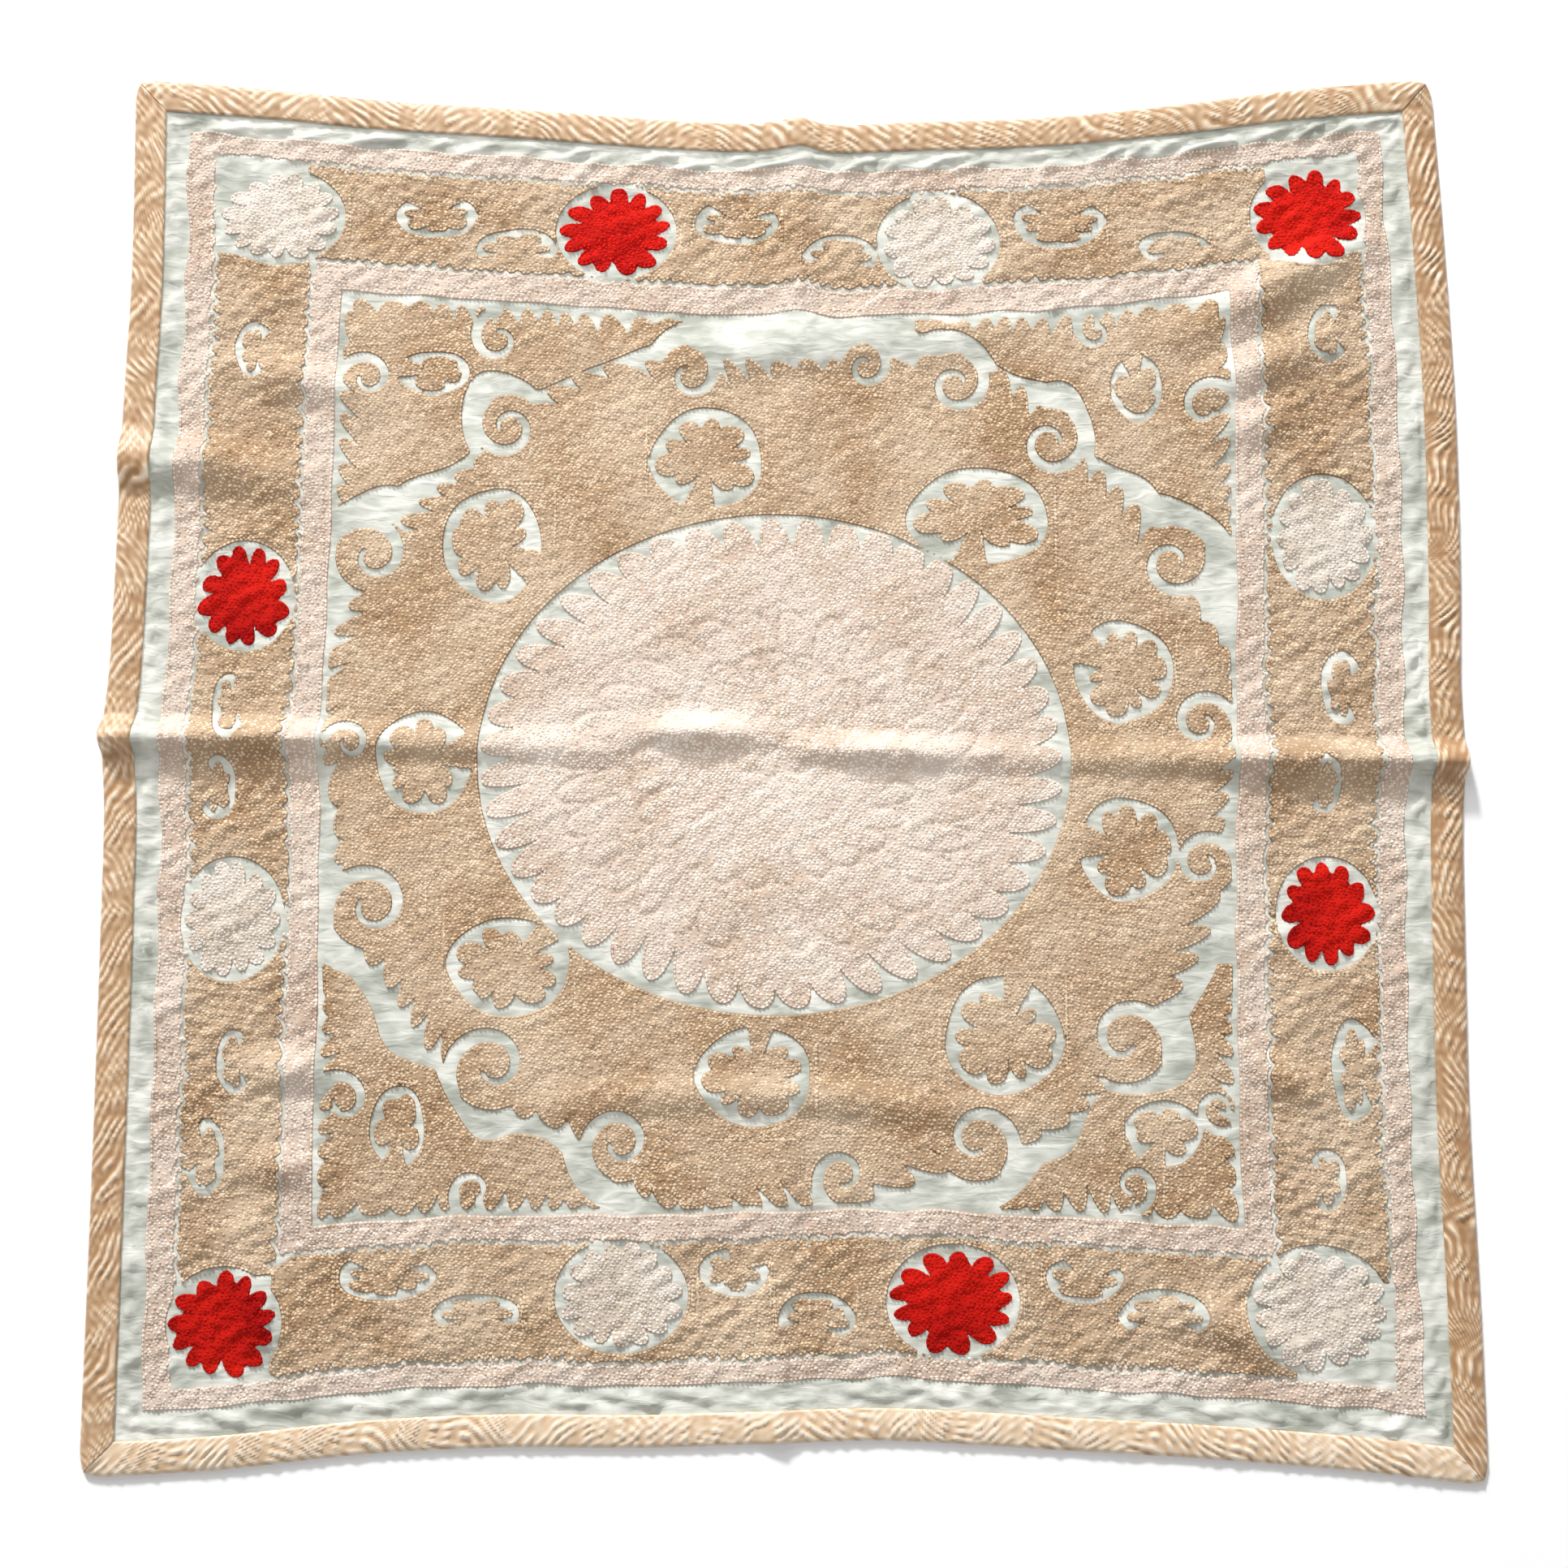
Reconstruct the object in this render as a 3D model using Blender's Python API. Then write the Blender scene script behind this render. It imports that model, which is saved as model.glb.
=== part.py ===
"""Square embroidered table cover, laid flat after it was unfolded.

One cotton cloth carries the embroidery. Its raw edge is tucked into four bias strips, each folded
round the edge like a letter U and mitred to the next at the corners. The cloth keeps the soft ridges
that its folding left, and rests on z = 0 between them. All sizes are in metres, with +Y to the top
edge, and the tables of the outline and the folds are in millimetres where their columns say so.
"""

import math
from typing import NamedTuple

import bmesh
import bpy

MM = 0.001

# The rectangle that the uneven outline just fills
WIDTH = 0.998
LENGTH = 1.036

# The folded bias strip. Its back leaf is a little narrower than its front one, and its slot holds
# the cloth's raw edge
STRIP_WIDTH = 24.0 * MM
STRIP_BACK_WIDTH = 22.0 * MM
STRIP_LEAF = 0.7 * MM
SLOT_END = 7.5 * MM
GAP = 0.3 * MM
MITRE_GAP = 0.2 * MM

# The cloth: bare near the binding, thicker where it is covered with rows of chain stitch. These are
# distances in from the outer edge
RAW_EDGE = SLOT_END + GAP
TUCK_ENDS = 32.0 * MM
BARE_ENDS = 44.0 * MM
STITCHING_STARTS = 52.0 * MM
BARE_THICKNESS = 1.2 * MM
STITCHED_THICKNESS = 2.0 * MM
TUCK_HEIGHT = STRIP_LEAF + GAP
SLOT_TOP = TUCK_HEIGHT + BARE_THICKNESS + GAP

# The outer corners are pulled in along their diagonal, so that they look turned and not cut
CORNER_PULL = 5.0 * MM
CORNER_REACH = 20.0 * MM

# Spacing of the mesh lines away from the creases
LINE_SPACING = 24.0 * MM
CREASE_LINES_MM = (0.0, 5.0, 10.0, 17.0, 26.0)
UPRIGHT_LINES_MM = (0.0, 7.0, 15.0)
UPRIGHT_CREASE_X = 4.0 * MM

# The middle crease runs a little downhill from the left edge to the right edge
CREASE_Y_AT_CENTRE = 3.0 * MM
CREASE_DROP = 9.0 * MM
CREASE_FOLLOWED_TO = 0.88


class SectionPoint(NamedTuple):
    """A corner of the folded strip's section."""

    inward: float  # distance in from the outer edge
    height: float


STRIP_SECTION = (
    SectionPoint(STRIP_BACK_WIDTH, 0.0),
    SectionPoint(STRIP_BACK_WIDTH, STRIP_LEAF),
    SectionPoint(SLOT_END, STRIP_LEAF),
    SectionPoint(SLOT_END, SLOT_TOP),
    SectionPoint(STRIP_WIDTH, SLOT_TOP),
    SectionPoint(STRIP_WIDTH, SLOT_TOP + STRIP_LEAF),
    SectionPoint(19.0 * MM, 3.5 * MM),
    SectionPoint(11.0 * MM, 3.7 * MM),
    SectionPoint(5.0 * MM, 3.5 * MM),
    SectionPoint(1.2 * MM, 2.7 * MM),
    SectionPoint(0.0 * MM, 1.2 * MM),
    SectionPoint(0.7 * MM, 0.5 * MM),
    SectionPoint(2.2 * MM, 0.0 * MM),
)


class Inset(NamedTuple):
    """How far the outline lies inside the rectangle at one place along an edge."""

    along: float  # -1 to 1, from left to right or from bottom to top
    inset_mm: float


TOP_EDGE = (
    Inset(-1.00, 0.3), Inset(-0.80, 8.1), Inset(-0.60, 18.0), Inset(-0.40, 24.6),
    Inset(-0.20, 32.2), Inset(-0.05, 35.4), Inset(0.02, 32.0), Inset(0.08, 36.4),
    Inset(0.20, 34.5), Inset(0.40, 31.0), Inset(0.60, 21.2), Inset(0.80, 8.4), Inset(1.00, 0.4),
)
BOTTOM_EDGE = (
    Inset(-1.00, 5.8), Inset(-0.80, 11.5), Inset(-0.60, 22.0), Inset(-0.40, 26.8),
    Inset(-0.20, 26.6), Inset(0.00, 29.6), Inset(0.15, 31.4), Inset(0.40, 24.8),
    Inset(0.60, 19.1), Inset(0.80, 11.3), Inset(1.00, 0.4),
)
LEFT_EDGE = (
    Inset(-1.00, 3.8), Inset(-0.60, 4.6), Inset(-0.20, 4.2), Inset(-0.08, 3.4), Inset(0.02, 0.0),
    Inset(0.12, 3.4), Inset(0.30, 5.2), Inset(0.50, 6.3), Inset(0.70, 8.9), Inset(1.00, 6.8),
)
RIGHT_EDGE = (
    Inset(-1.00, 5.6), Inset(-0.75, 6.8), Inset(-0.50, 9.4), Inset(-0.25, 7.8), Inset(-0.10, 6.2),
    Inset(-0.01, 2.6), Inset(0.10, 3.6), Inset(0.25, 1.0), Inset(0.50, 0.0), Inset(0.75, 3.8),
    Inset(1.00, 9.4),
)


class CrestPoint(NamedTuple):
    """One place on the crest of a fold."""

    x: float
    y: float
    height_mm: float


class Fold(NamedTuple):
    """A soft ridge: half its width at the foot, and its crest from end to end."""

    name: str
    half_width: float
    crest: tuple


FOLDS = (
    Fold("middle crease, left edge to medallion", 0.024, (
        CrestPoint(-0.53, 0.012, 12.0), CrestPoint(-0.36, 0.011, 12.5),
        CrestPoint(-0.29, 0.009, 5.0), CrestPoint(-0.12, 0.004, 2.5))),
    Fold("middle crease, left half of the medallion", 0.022, (
        CrestPoint(-0.125, 0.017, 1.5), CrestPoint(-0.065, 0.016, 8.0), CrestPoint(-0.008, 0.013, 2.5))),
    Fold("middle crease, right half of the medallion", 0.022, (
        CrestPoint(0.012, 0.004, 3.5), CrestPoint(0.070, 0.002, 7.5), CrestPoint(0.145, -0.002, 2.0))),
    Fold("middle crease, medallion to right edge", 0.024, (
        CrestPoint(0.150, -0.002, 2.5), CrestPoint(0.290, -0.004, 4.5),
        CrestPoint(0.350, -0.004, 11.5), CrestPoint(0.53, -0.006, 12.0))),
    Fold("upright crease, top", 0.018, (
        CrestPoint(0.013, 0.53, 4.5), CrestPoint(0.012, 0.40, 3.0), CrestPoint(0.006, 0.20, 1.2))),
    Fold("upright crease, bottom", 0.018, (
        CrestPoint(-0.001, -0.27, 1.2), CrestPoint(-0.004, -0.40, 2.2), CrestPoint(-0.007, -0.53, 3.5))),
    Fold("lower quarter crease", 0.020, (
        CrestPoint(-0.165, -0.252, 1.2), CrestPoint(-0.06, -0.245, 3.8),
        CrestPoint(0.02, -0.247, 3.8), CrestPoint(0.20, -0.264, 1.2))),
    Fold("upper quarter crease", 0.030, (
        CrestPoint(-0.11, 0.300, 1.5), CrestPoint(-0.02, 0.308, 5.0), CrestPoint(0.16, 0.318, 2.0))),
    Fold("first slant by the upper right corner", 0.027, (
        CrestPoint(0.300, 0.318, 2.0), CrestPoint(0.360, 0.352, 7.0), CrestPoint(0.435, 0.388, 2.5))),
    Fold("second slant by the upper right corner", 0.024, (
        CrestPoint(0.310, 0.274, 2.0), CrestPoint(0.355, 0.292, 5.5), CrestPoint(0.402, 0.312, 1.8))),
    Fold("third slant by the upper right corner", 0.022, (
        CrestPoint(0.320, 0.238, 1.5), CrestPoint(0.352, 0.247, 4.2), CrestPoint(0.388, 0.257, 1.2))),
    Fold("wave in the left border", 0.029, (
        CrestPoint(-0.53, 0.220, 6.0), CrestPoint(-0.43, 0.219, 7.0), CrestPoint(-0.355, 0.205, 2.0))),
    Fold("slant above that wave", 0.025, (
        CrestPoint(-0.412, 0.292, 1.5), CrestPoint(-0.360, 0.282, 5.2), CrestPoint(-0.308, 0.268, 1.6))),
    Fold("upper wave of the lower left", 0.021, (
        CrestPoint(-0.392, -0.228, 1.5), CrestPoint(-0.355, -0.228, 4.2), CrestPoint(-0.318, -0.232, 1.4))),
    Fold("lower wave of the lower left", 0.021, (
        CrestPoint(-0.386, -0.296, 1.4), CrestPoint(-0.358, -0.297, 4.0), CrestPoint(-0.332, -0.301, 1.4))),
    Fold("slant by the lower left corner", 0.025, (
        CrestPoint(-0.388, -0.345, 1.5), CrestPoint(-0.368, -0.400, 5.2), CrestPoint(-0.346, -0.448, 1.8))),
    Fold("slant by the lower right corner", 0.024, (
        CrestPoint(0.278, -0.396, 1.4), CrestPoint(0.318, -0.409, 4.4), CrestPoint(0.355, -0.428, 1.4))),
    Fold("wave in the right border", 0.020, (
        CrestPoint(0.332, -0.222, 1.4), CrestPoint(0.357, -0.233, 4.0), CrestPoint(0.382, -0.248, 1.4))),
)


def inset_at(edge, along):
    """The inset of an edge in metres, on a smooth curve through its table."""
    last = len(edge) - 1
    right = min(max(next((i for i, row in enumerate(edge) if row.along >= along), last), 1), last)
    before, after = edge[right - 1], edge[right]

    def slope(index):
        low, high = edge[max(index - 1, 0)], edge[min(index + 1, last)]
        return (high.inset_mm - low.inset_mm) / (high.along - low.along)

    span = after.along - before.along
    t = min(max((along - before.along) / span, 0.0), 1.0)
    value = (
        before.inset_mm * (1 + 2 * t) * (1 - t) ** 2
        + after.inset_mm * (3 - 2 * t) * t**2
        + slope(right - 1) * span * t * (1 - t) ** 2
        - slope(right) * span * t**2 * (1 - t)
    )
    return value * MM


def place(a, b):
    """The point (x, y) at a from left to right and b from bottom to top, each from -1 to 1."""
    left = -WIDTH / 2 + inset_at(LEFT_EDGE, b)
    right = WIDTH / 2 - inset_at(RIGHT_EDGE, b)
    bottom = -LENGTH / 2 + inset_at(BOTTOM_EDGE, a)
    top = LENGTH / 2 - inset_at(TOP_EDGE, a)
    x = left + (right - left) * (a + 1) / 2
    y = bottom + (top - bottom) * (b + 1) / 2
    from_corner = math.hypot((1 - abs(a)) * WIDTH / 2, (1 - abs(b)) * LENGTH / 2)
    pull = CORNER_PULL * max(0.0, 1 - from_corner / CORNER_REACH) ** 2 / math.sqrt(2)
    return x - math.copysign(pull, a), y - math.copysign(pull, b)


def inside_strip(a, b):
    """The same place, moved in to the binding's inner edge where it lies under the binding."""
    most_a = 1 - 2 * STRIP_WIDTH / WIDTH
    most_b = 1 - 2 * STRIP_WIDTH / LENGTH
    return min(max(a, -most_a), most_a), min(max(b, -most_b), most_b)


def crest_near(fold, x, y):
    """The distance from a point to a fold's crest, and the crest's height there."""
    best = (math.inf, 0.0)
    for start, end in zip(fold.crest, fold.crest[1:]):
        along_x, along_y = end.x - start.x, end.y - start.y
        length_squared = along_x**2 + along_y**2
        t = ((x - start.x) * along_x + (y - start.y) * along_y) / length_squared
        t = min(max(t, 0.0), 1.0)
        distance = math.hypot(x - start.x - t * along_x, y - start.y - t * along_y)
        height = start.height_mm + (end.height_mm - start.height_mm) * t * t * (3 - 2 * t)
        best = min(best, (distance, height * MM))
    return best


def lift(a, b):
    """How far the folds lift the cloth off the surface. It is the same all across the binding."""
    x, y = place(*inside_strip(a, b))
    total = 0.0
    for fold in FOLDS:
        distance, height = crest_near(fold, x, y)
        if distance < fold.half_width:
            total += height * (1 + math.cos(math.pi * distance / fold.half_width)) / 2
    return total


def follow_crease(a, b):
    """b moved so that the mesh lines by the middle run along the middle crease."""
    a, _ = inside_strip(a, b)
    near = max(0.0, 1 - abs(b) / CREASE_FOLLOWED_TO)
    return b + (CREASE_Y_AT_CENTRE - CREASE_DROP * a) * 2 / LENGTH * near


def edge_distance(a, b):
    """How far a place is from the nearest outer edge."""
    return min((1 - abs(a)) * WIDTH / 2, (1 - abs(b)) * LENGTH / 2)


def ramp(value, start, end):
    """0 before start, 1 after end and straight between."""
    return min(max((value - start) / (end - start), 0.0), 1.0)


def cloth_heights(a, b):
    """The underside and the upper side of the cloth at a place."""
    distance = edge_distance(a, b)
    tuck = TUCK_HEIGHT * (1 - ramp(distance, STRIP_WIDTH, TUCK_ENDS))
    stitched = ramp(distance, BARE_ENDS, STITCHING_STARTS)
    under = lift(a, b) + tuck
    return under, under + BARE_THICKNESS + (STITCHED_THICKNESS - BARE_THICKNESS) * stitched


def mesh_lines(size, crease, crease_lines_mm):
    """Places from -1 to 1 for the mesh lines: close at the edges and at the crease."""
    half = size / 2
    edge_lines = (RAW_EDGE, STRIP_WIDTH, TUCK_ENDS, BARE_ENDS, STITCHING_STARTS)
    low_side = [edge - half for edge in edge_lines]
    high_side = [half - edge for edge in reversed(edge_lines)]
    offsets = sorted({sign * mm * MM for mm in crease_lines_mm for sign in (-1, 1)})
    middle = [crease + offset for offset in offsets]

    def between(start, end):
        steps = max(1, round((end - start) / LINE_SPACING))
        return [start + (end - start) * i / steps for i in range(1, steps)]

    lines = low_side + between(low_side[-1], middle[0])
    lines += middle + between(middle[-1], high_side[0]) + high_side
    return [line / half for line in lines]


def fabric(name, colour, roughness):
    """A cloth material with one colour."""
    material = bpy.data.materials.new(name)
    material.use_nodes = True
    shader = material.node_tree.nodes["Principled BSDF"]
    shader.inputs["Base Color"].default_value = (*colour, 1.0)
    shader.inputs["Roughness"].default_value = roughness
    shader.inputs["Metallic"].default_value = 0.0
    return material


def add_object(name, corners, faces, material):
    """A smooth shaded object from its corners and faces, with all faces pointing out."""
    mesh = bpy.data.meshes.new(name)
    mesh.from_pydata(corners, [], faces)
    work = bmesh.new()
    work.from_mesh(mesh)
    bmesh.ops.recalc_face_normals(work, faces=work.faces)
    work.to_mesh(mesh)
    work.free()
    mesh.shade_smooth()
    mesh.set_sharp_from_angle(angle=math.radians(40))
    mesh.materials.append(material)
    piece = bpy.data.objects.new(name, mesh)
    bpy.context.scene.collection.objects.link(piece)
    return piece


def make_cloth(columns, rows, material):
    """The one-piece cloth: an upper and an under skin on the same mesh lines, joined at the raw edge."""
    wide, high = len(columns), len(rows)
    upper, under = [], []
    for row in rows:
        for a in columns:
            b = follow_crease(a, row)
            x, y = place(a, b)
            low, top = cloth_heights(a, b)
            under.append((x, y, low))
            upper.append((x, y, top))
    count = wide * high
    faces = []
    for j in range(high - 1):
        for i in range(wide - 1):
            first = j * wide + i
            faces.append((first, first + 1, first + wide + 1, first + wide))
            faces.append(tuple(count + k for k in (first, first + wide, first + wide + 1, first + 1)))
    rim = [i for i in range(wide)]
    rim += [j * wide + wide - 1 for j in range(1, high)]
    rim += [(high - 1) * wide + i for i in range(wide - 2, -1, -1)]
    rim += [j * wide for j in range(high - 2, 0, -1)]
    for near, far in zip(rim, rim[1:] + rim[:1]):
        faces.append((near, far, count + far, count + near))
    return add_object("embroidered_cloth", upper + under, faces, material)


def make_strip(name, stations, along_size, across_size, to_place, material):
    """One side's binding: its section carried along the edge, and cut on the mitre at both ends."""
    inner = [s for s in stations if (1 - abs(s)) * along_size / 2 > STRIP_WIDTH + GAP]
    rings = ["start"] + inner + ["end"]
    corners = []
    for ring in rings:
        for inward, height in STRIP_SECTION:
            if ring == "start":
                along = -1 + 2 * (inward + MITRE_GAP) / along_size
            elif ring == "end":
                along = 1 - 2 * (inward + MITRE_GAP) / along_size
            else:
                along = ring
            a, b = to_place(along, 1 - 2 * inward / across_size)
            x, y = place(a, b)
            corners.append((x, y, height + lift(a, b)))
    size = len(STRIP_SECTION)
    faces = [tuple(range(size)), tuple((len(rings) - 1) * size + k for k in reversed(range(size)))]
    for r in range(len(rings) - 1):
        for k in range(size):
            after = (k + 1) % size
            faces.append((r * size + k, (r + 1) * size + k, (r + 1) * size + after, r * size + after))
    return add_object(name, corners, faces, material)


def main():
    for old in list(bpy.data.objects):
        bpy.data.objects.remove(old)
    bpy.context.scene.unit_settings.scale_length = 1.0

    cotton = fabric("chain_stitched_cotton", (0.66, 0.50, 0.34), 0.9)
    satin = fabric("bias_satin", (0.76, 0.56, 0.36), 0.45)

    columns = mesh_lines(WIDTH, UPRIGHT_CREASE_X, UPRIGHT_LINES_MM)
    rows = mesh_lines(LENGTH, 0.0, CREASE_LINES_MM)
    make_cloth(columns, rows, cotton)

    make_strip("binding_top", columns, WIDTH, LENGTH, lambda s, n: (s, n), satin)
    make_strip("binding_bottom", columns, WIDTH, LENGTH, lambda s, n: (s, -n), satin)
    make_strip(
        "binding_left", rows, LENGTH, WIDTH, lambda s, n: (-n, follow_crease(-n, s)), satin
    )
    make_strip(
        "binding_right", rows, LENGTH, WIDTH, lambda s, n: (n, follow_crease(n, s)), satin
    )


main()
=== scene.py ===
"""Looks of the square embroidered table cover.

The cloth lies flat after it was unfolded, with the soft ridges of its folding. This file repeats its
outline and its folds at a finer spacing, covers it with modelled rows of chain stitch in a traditional
layout of medallion, wreath, corner leaves and rosette border, and gathers the satin of the binding into
slanting wrinkles. Lengths are in metres, and tables are in millimetres where their columns say so.
"""

import logging
import math
from dataclasses import dataclass
from enum import Enum
from typing import Any, Callable, NamedTuple

import bpy
import numpy as np
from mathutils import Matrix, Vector


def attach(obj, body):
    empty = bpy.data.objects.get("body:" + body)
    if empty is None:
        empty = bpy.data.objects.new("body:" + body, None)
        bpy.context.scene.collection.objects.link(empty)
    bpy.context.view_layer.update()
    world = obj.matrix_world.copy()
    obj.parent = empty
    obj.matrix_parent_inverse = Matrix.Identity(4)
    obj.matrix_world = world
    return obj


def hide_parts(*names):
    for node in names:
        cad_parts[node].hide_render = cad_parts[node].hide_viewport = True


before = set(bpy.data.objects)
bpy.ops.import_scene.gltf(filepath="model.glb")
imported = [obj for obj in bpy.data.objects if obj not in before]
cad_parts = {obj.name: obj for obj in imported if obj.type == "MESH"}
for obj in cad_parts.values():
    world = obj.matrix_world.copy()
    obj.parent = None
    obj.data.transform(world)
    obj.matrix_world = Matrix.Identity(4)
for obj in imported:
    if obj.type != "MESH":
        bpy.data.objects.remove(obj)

log = logging.getLogger("table_cover")

Array = np.ndarray
MM = 0.001

# The sizes that part.py gives the cloth and its binding
WIDTH = 0.998
LENGTH = 1.036
STRIP_WIDTH = 24.0 * MM
STRIP_BACK_WIDTH = 22.0 * MM
SLOT_END = 7.5 * MM
RAW_EDGE = 7.8 * MM
TUCK_ENDS = 32.0 * MM
TUCK_HEIGHT = 1.0 * MM
CORNER_PULL = 5.0 * MM
CORNER_REACH = 20.0 * MM

# The middle crease falls off faster on its lower side, which makes its narrow line of shade
STEEP_SIDE = 0.62
SOFT_SIDE = 0.85


class Knot(NamedTuple):
    """How far the outline lies inside its rectangle at one place along an edge."""

    along: float
    inset_mm: float


TOP_EDGE = (
    Knot(-1.00, 0.3), Knot(-0.80, 8.1), Knot(-0.60, 18.0), Knot(-0.40, 24.6), Knot(-0.20, 32.2),
    Knot(-0.05, 35.4), Knot(0.02, 32.0), Knot(0.08, 36.4), Knot(0.20, 34.5), Knot(0.40, 31.0),
    Knot(0.60, 21.2), Knot(0.80, 8.4), Knot(1.00, 0.4),
)
BOTTOM_EDGE = (
    Knot(-1.00, 5.8), Knot(-0.80, 11.5), Knot(-0.60, 22.0), Knot(-0.40, 26.8), Knot(-0.20, 26.6),
    Knot(0.00, 29.6), Knot(0.15, 31.4), Knot(0.40, 24.8), Knot(0.60, 19.1), Knot(0.80, 11.3),
    Knot(1.00, 0.4),
)
LEFT_EDGE = (
    Knot(-1.00, 3.8), Knot(-0.60, 4.6), Knot(-0.20, 4.2), Knot(-0.08, 3.4), Knot(0.02, 0.0),
    Knot(0.12, 3.4), Knot(0.30, 5.2), Knot(0.50, 6.3), Knot(0.70, 8.9), Knot(1.00, 6.8),
)
RIGHT_EDGE = (
    Knot(-1.00, 5.6), Knot(-0.75, 6.8), Knot(-0.50, 9.4), Knot(-0.25, 7.8), Knot(-0.10, 6.2),
    Knot(-0.01, 2.6), Knot(0.10, 3.6), Knot(0.25, 1.0), Knot(0.50, 0.0), Knot(0.75, 3.8),
    Knot(1.00, 9.4),
)


class Crest(NamedTuple):
    """One place on the crest of a fold."""

    x: float
    y: float
    height_mm: float


class Fold(NamedTuple):
    """A soft ridge: half its width at the foot, and its crest from end to end."""

    half_width: float
    crest: tuple[Crest, ...]


MIDDLE_CREASE = (
    Fold(0.024, (Crest(-0.53, 0.012, 12.0), Crest(-0.36, 0.011, 12.5),
                 Crest(-0.29, 0.009, 5.0), Crest(-0.12, 0.004, 2.5))),
    Fold(0.022, (Crest(-0.125, 0.017, 1.5), Crest(-0.065, 0.016, 9.5), Crest(-0.008, 0.013, 2.5))),
    Fold(0.022, (Crest(0.012, 0.004, 3.5), Crest(0.070, 0.002, 9.0), Crest(0.145, -0.002, 2.0))),
    Fold(0.024, (Crest(0.150, -0.002, 2.5), Crest(0.290, -0.004, 4.5),
                 Crest(0.350, -0.004, 11.5), Crest(0.53, -0.006, 12.0))),
)
OTHER_CREASES = (
    Fold(0.018, (Crest(0.013, 0.53, 4.5), Crest(0.012, 0.40, 3.0), Crest(0.006, 0.20, 1.2))),
    Fold(0.018, (Crest(-0.001, -0.27, 1.2), Crest(-0.004, -0.40, 2.2), Crest(-0.007, -0.53, 3.5))),
    Fold(0.020, (Crest(-0.165, -0.252, 1.2), Crest(-0.06, -0.245, 3.8),
                 Crest(0.02, -0.247, 3.8), Crest(0.20, -0.264, 1.2))),
    Fold(0.030, (Crest(-0.11, 0.300, 1.5), Crest(-0.02, 0.308, 5.0), Crest(0.16, 0.318, 2.0))),
)
WAVES = (
    Fold(0.027, (Crest(0.300, 0.318, 2.0), Crest(0.360, 0.352, 7.0), Crest(0.435, 0.388, 2.5))),
    Fold(0.024, (Crest(0.310, 0.274, 2.0), Crest(0.355, 0.292, 5.5), Crest(0.402, 0.312, 1.8))),
    Fold(0.022, (Crest(0.320, 0.238, 1.5), Crest(0.352, 0.247, 4.2), Crest(0.388, 0.257, 1.2))),
    Fold(0.029, (Crest(-0.53, 0.220, 6.0), Crest(-0.43, 0.219, 7.0), Crest(-0.355, 0.205, 2.0))),
    Fold(0.025, (Crest(-0.412, 0.292, 1.5), Crest(-0.360, 0.282, 5.2), Crest(-0.308, 0.268, 1.6))),
    Fold(0.021, (Crest(-0.392, -0.228, 1.5), Crest(-0.355, -0.228, 4.2), Crest(-0.318, -0.232, 1.4))),
    Fold(0.021, (Crest(-0.386, -0.296, 1.4), Crest(-0.358, -0.297, 4.0), Crest(-0.332, -0.301, 1.4))),
    Fold(0.025, (Crest(-0.388, -0.345, 1.5), Crest(-0.368, -0.400, 5.2), Crest(-0.346, -0.448, 1.8))),
    Fold(0.024, (Crest(0.278, -0.396, 1.4), Crest(0.318, -0.409, 4.4), Crest(0.355, -0.428, 1.4))),
    Fold(0.020, (Crest(0.332, -0.222, 1.4), Crest(0.357, -0.233, 4.0), Crest(0.382, -0.248, 1.4))),
)


class Side(Enum):
    """The four sides of the cover."""

    TOP = "top"
    BOTTOM = "bottom"
    LEFT = "left"
    RIGHT = "right"


class Turn(Enum):
    """Which way a scroll winds inward, seen from above."""

    LEFT = 1
    RIGHT = -1


class Flower(NamedTuple):
    """A rosette of the pattern: its middle, half sizes, petals and turn."""

    x_mm: float
    y_mm: float
    rx_mm: float
    ry_mm: float
    petals: int
    turn_deg: float

    @property
    def reach(self) -> float:
        """Its longer half size."""
        return max(self.rx_mm, self.ry_mm) * MM


class Palmette(NamedTuple):
    """A fan of petals in an oval of bare cloth, with a neck that ties it to the embroidery round it."""

    x_mm: float
    y_mm: float
    rx_mm: float
    ry_mm: float
    petals: int
    stem_deg: float  # the direction of the neck
    neck_deg: float  # half the angle that the neck takes
    gap: float  # width of the bare gap beyond the petals, as a share of the oval's radius

    @property
    def reach(self) -> float:
        """Its longer half size."""
        return max(self.rx_mm, self.ry_mm) * MM


class Scroll(NamedTuple):
    """A gap of bare cloth that winds inward round a hook of embroidery."""

    x_mm: float
    y_mm: float
    radius_mm: float
    mouth_deg: float  # the direction in which the gap opens
    winds: Turn


RED_ROSETTES = (
    Flower(-127, 397, 42, 34, 13, 8), Flower(394, 409, 41, 36, 13, 0), Flower(-398, 118, 34, 38, 12, 12),
    Flower(392, -116, 34, 38, 12, 4), Flower(-397, -407, 39, 37, 13, 10), Flower(119, -391, 44, 37, 13, 3),
)
PALE_ROSETTES = (
    Flower(-379, 409, 45, 34, 15, 5), Flower(115, 389, 43, 36, 13, 0), Flower(398, 163, 36, 44, 14, 6),
    Flower(378, -397, 48, 42, 15, 0), Flower(-116, -387, 44, 37, 15, 7), Flower(-400, -120, 35, 42, 14, 3),
)
WINDOWS = (
    Palmette(-58, 222, 41, 38, 9, 262, 16, 0.15), Palmette(-216, 157, 36, 42, 8, 335, 18, 0.16),
    Palmette(143, 178, 52, 36, 9, 262, 14, 0.17), Palmette(248, 62, 36, 37, 9, 150, 20, 0.13),
    Palmette(249, -69, 36, 37, 8, 170, 20, 0.13), Palmette(157, -204, 42, 42, 9, 75, 14, 0.15),
    Palmette(-22, -233, 41, 35, 9, 84, 12, 0.15), Palmette(-199, -154, 44, 35, 9, 48, 14, 0.15),
    Palmette(-263, -5, 35, 37, 8, 12, 20, 0.15),
)
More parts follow.
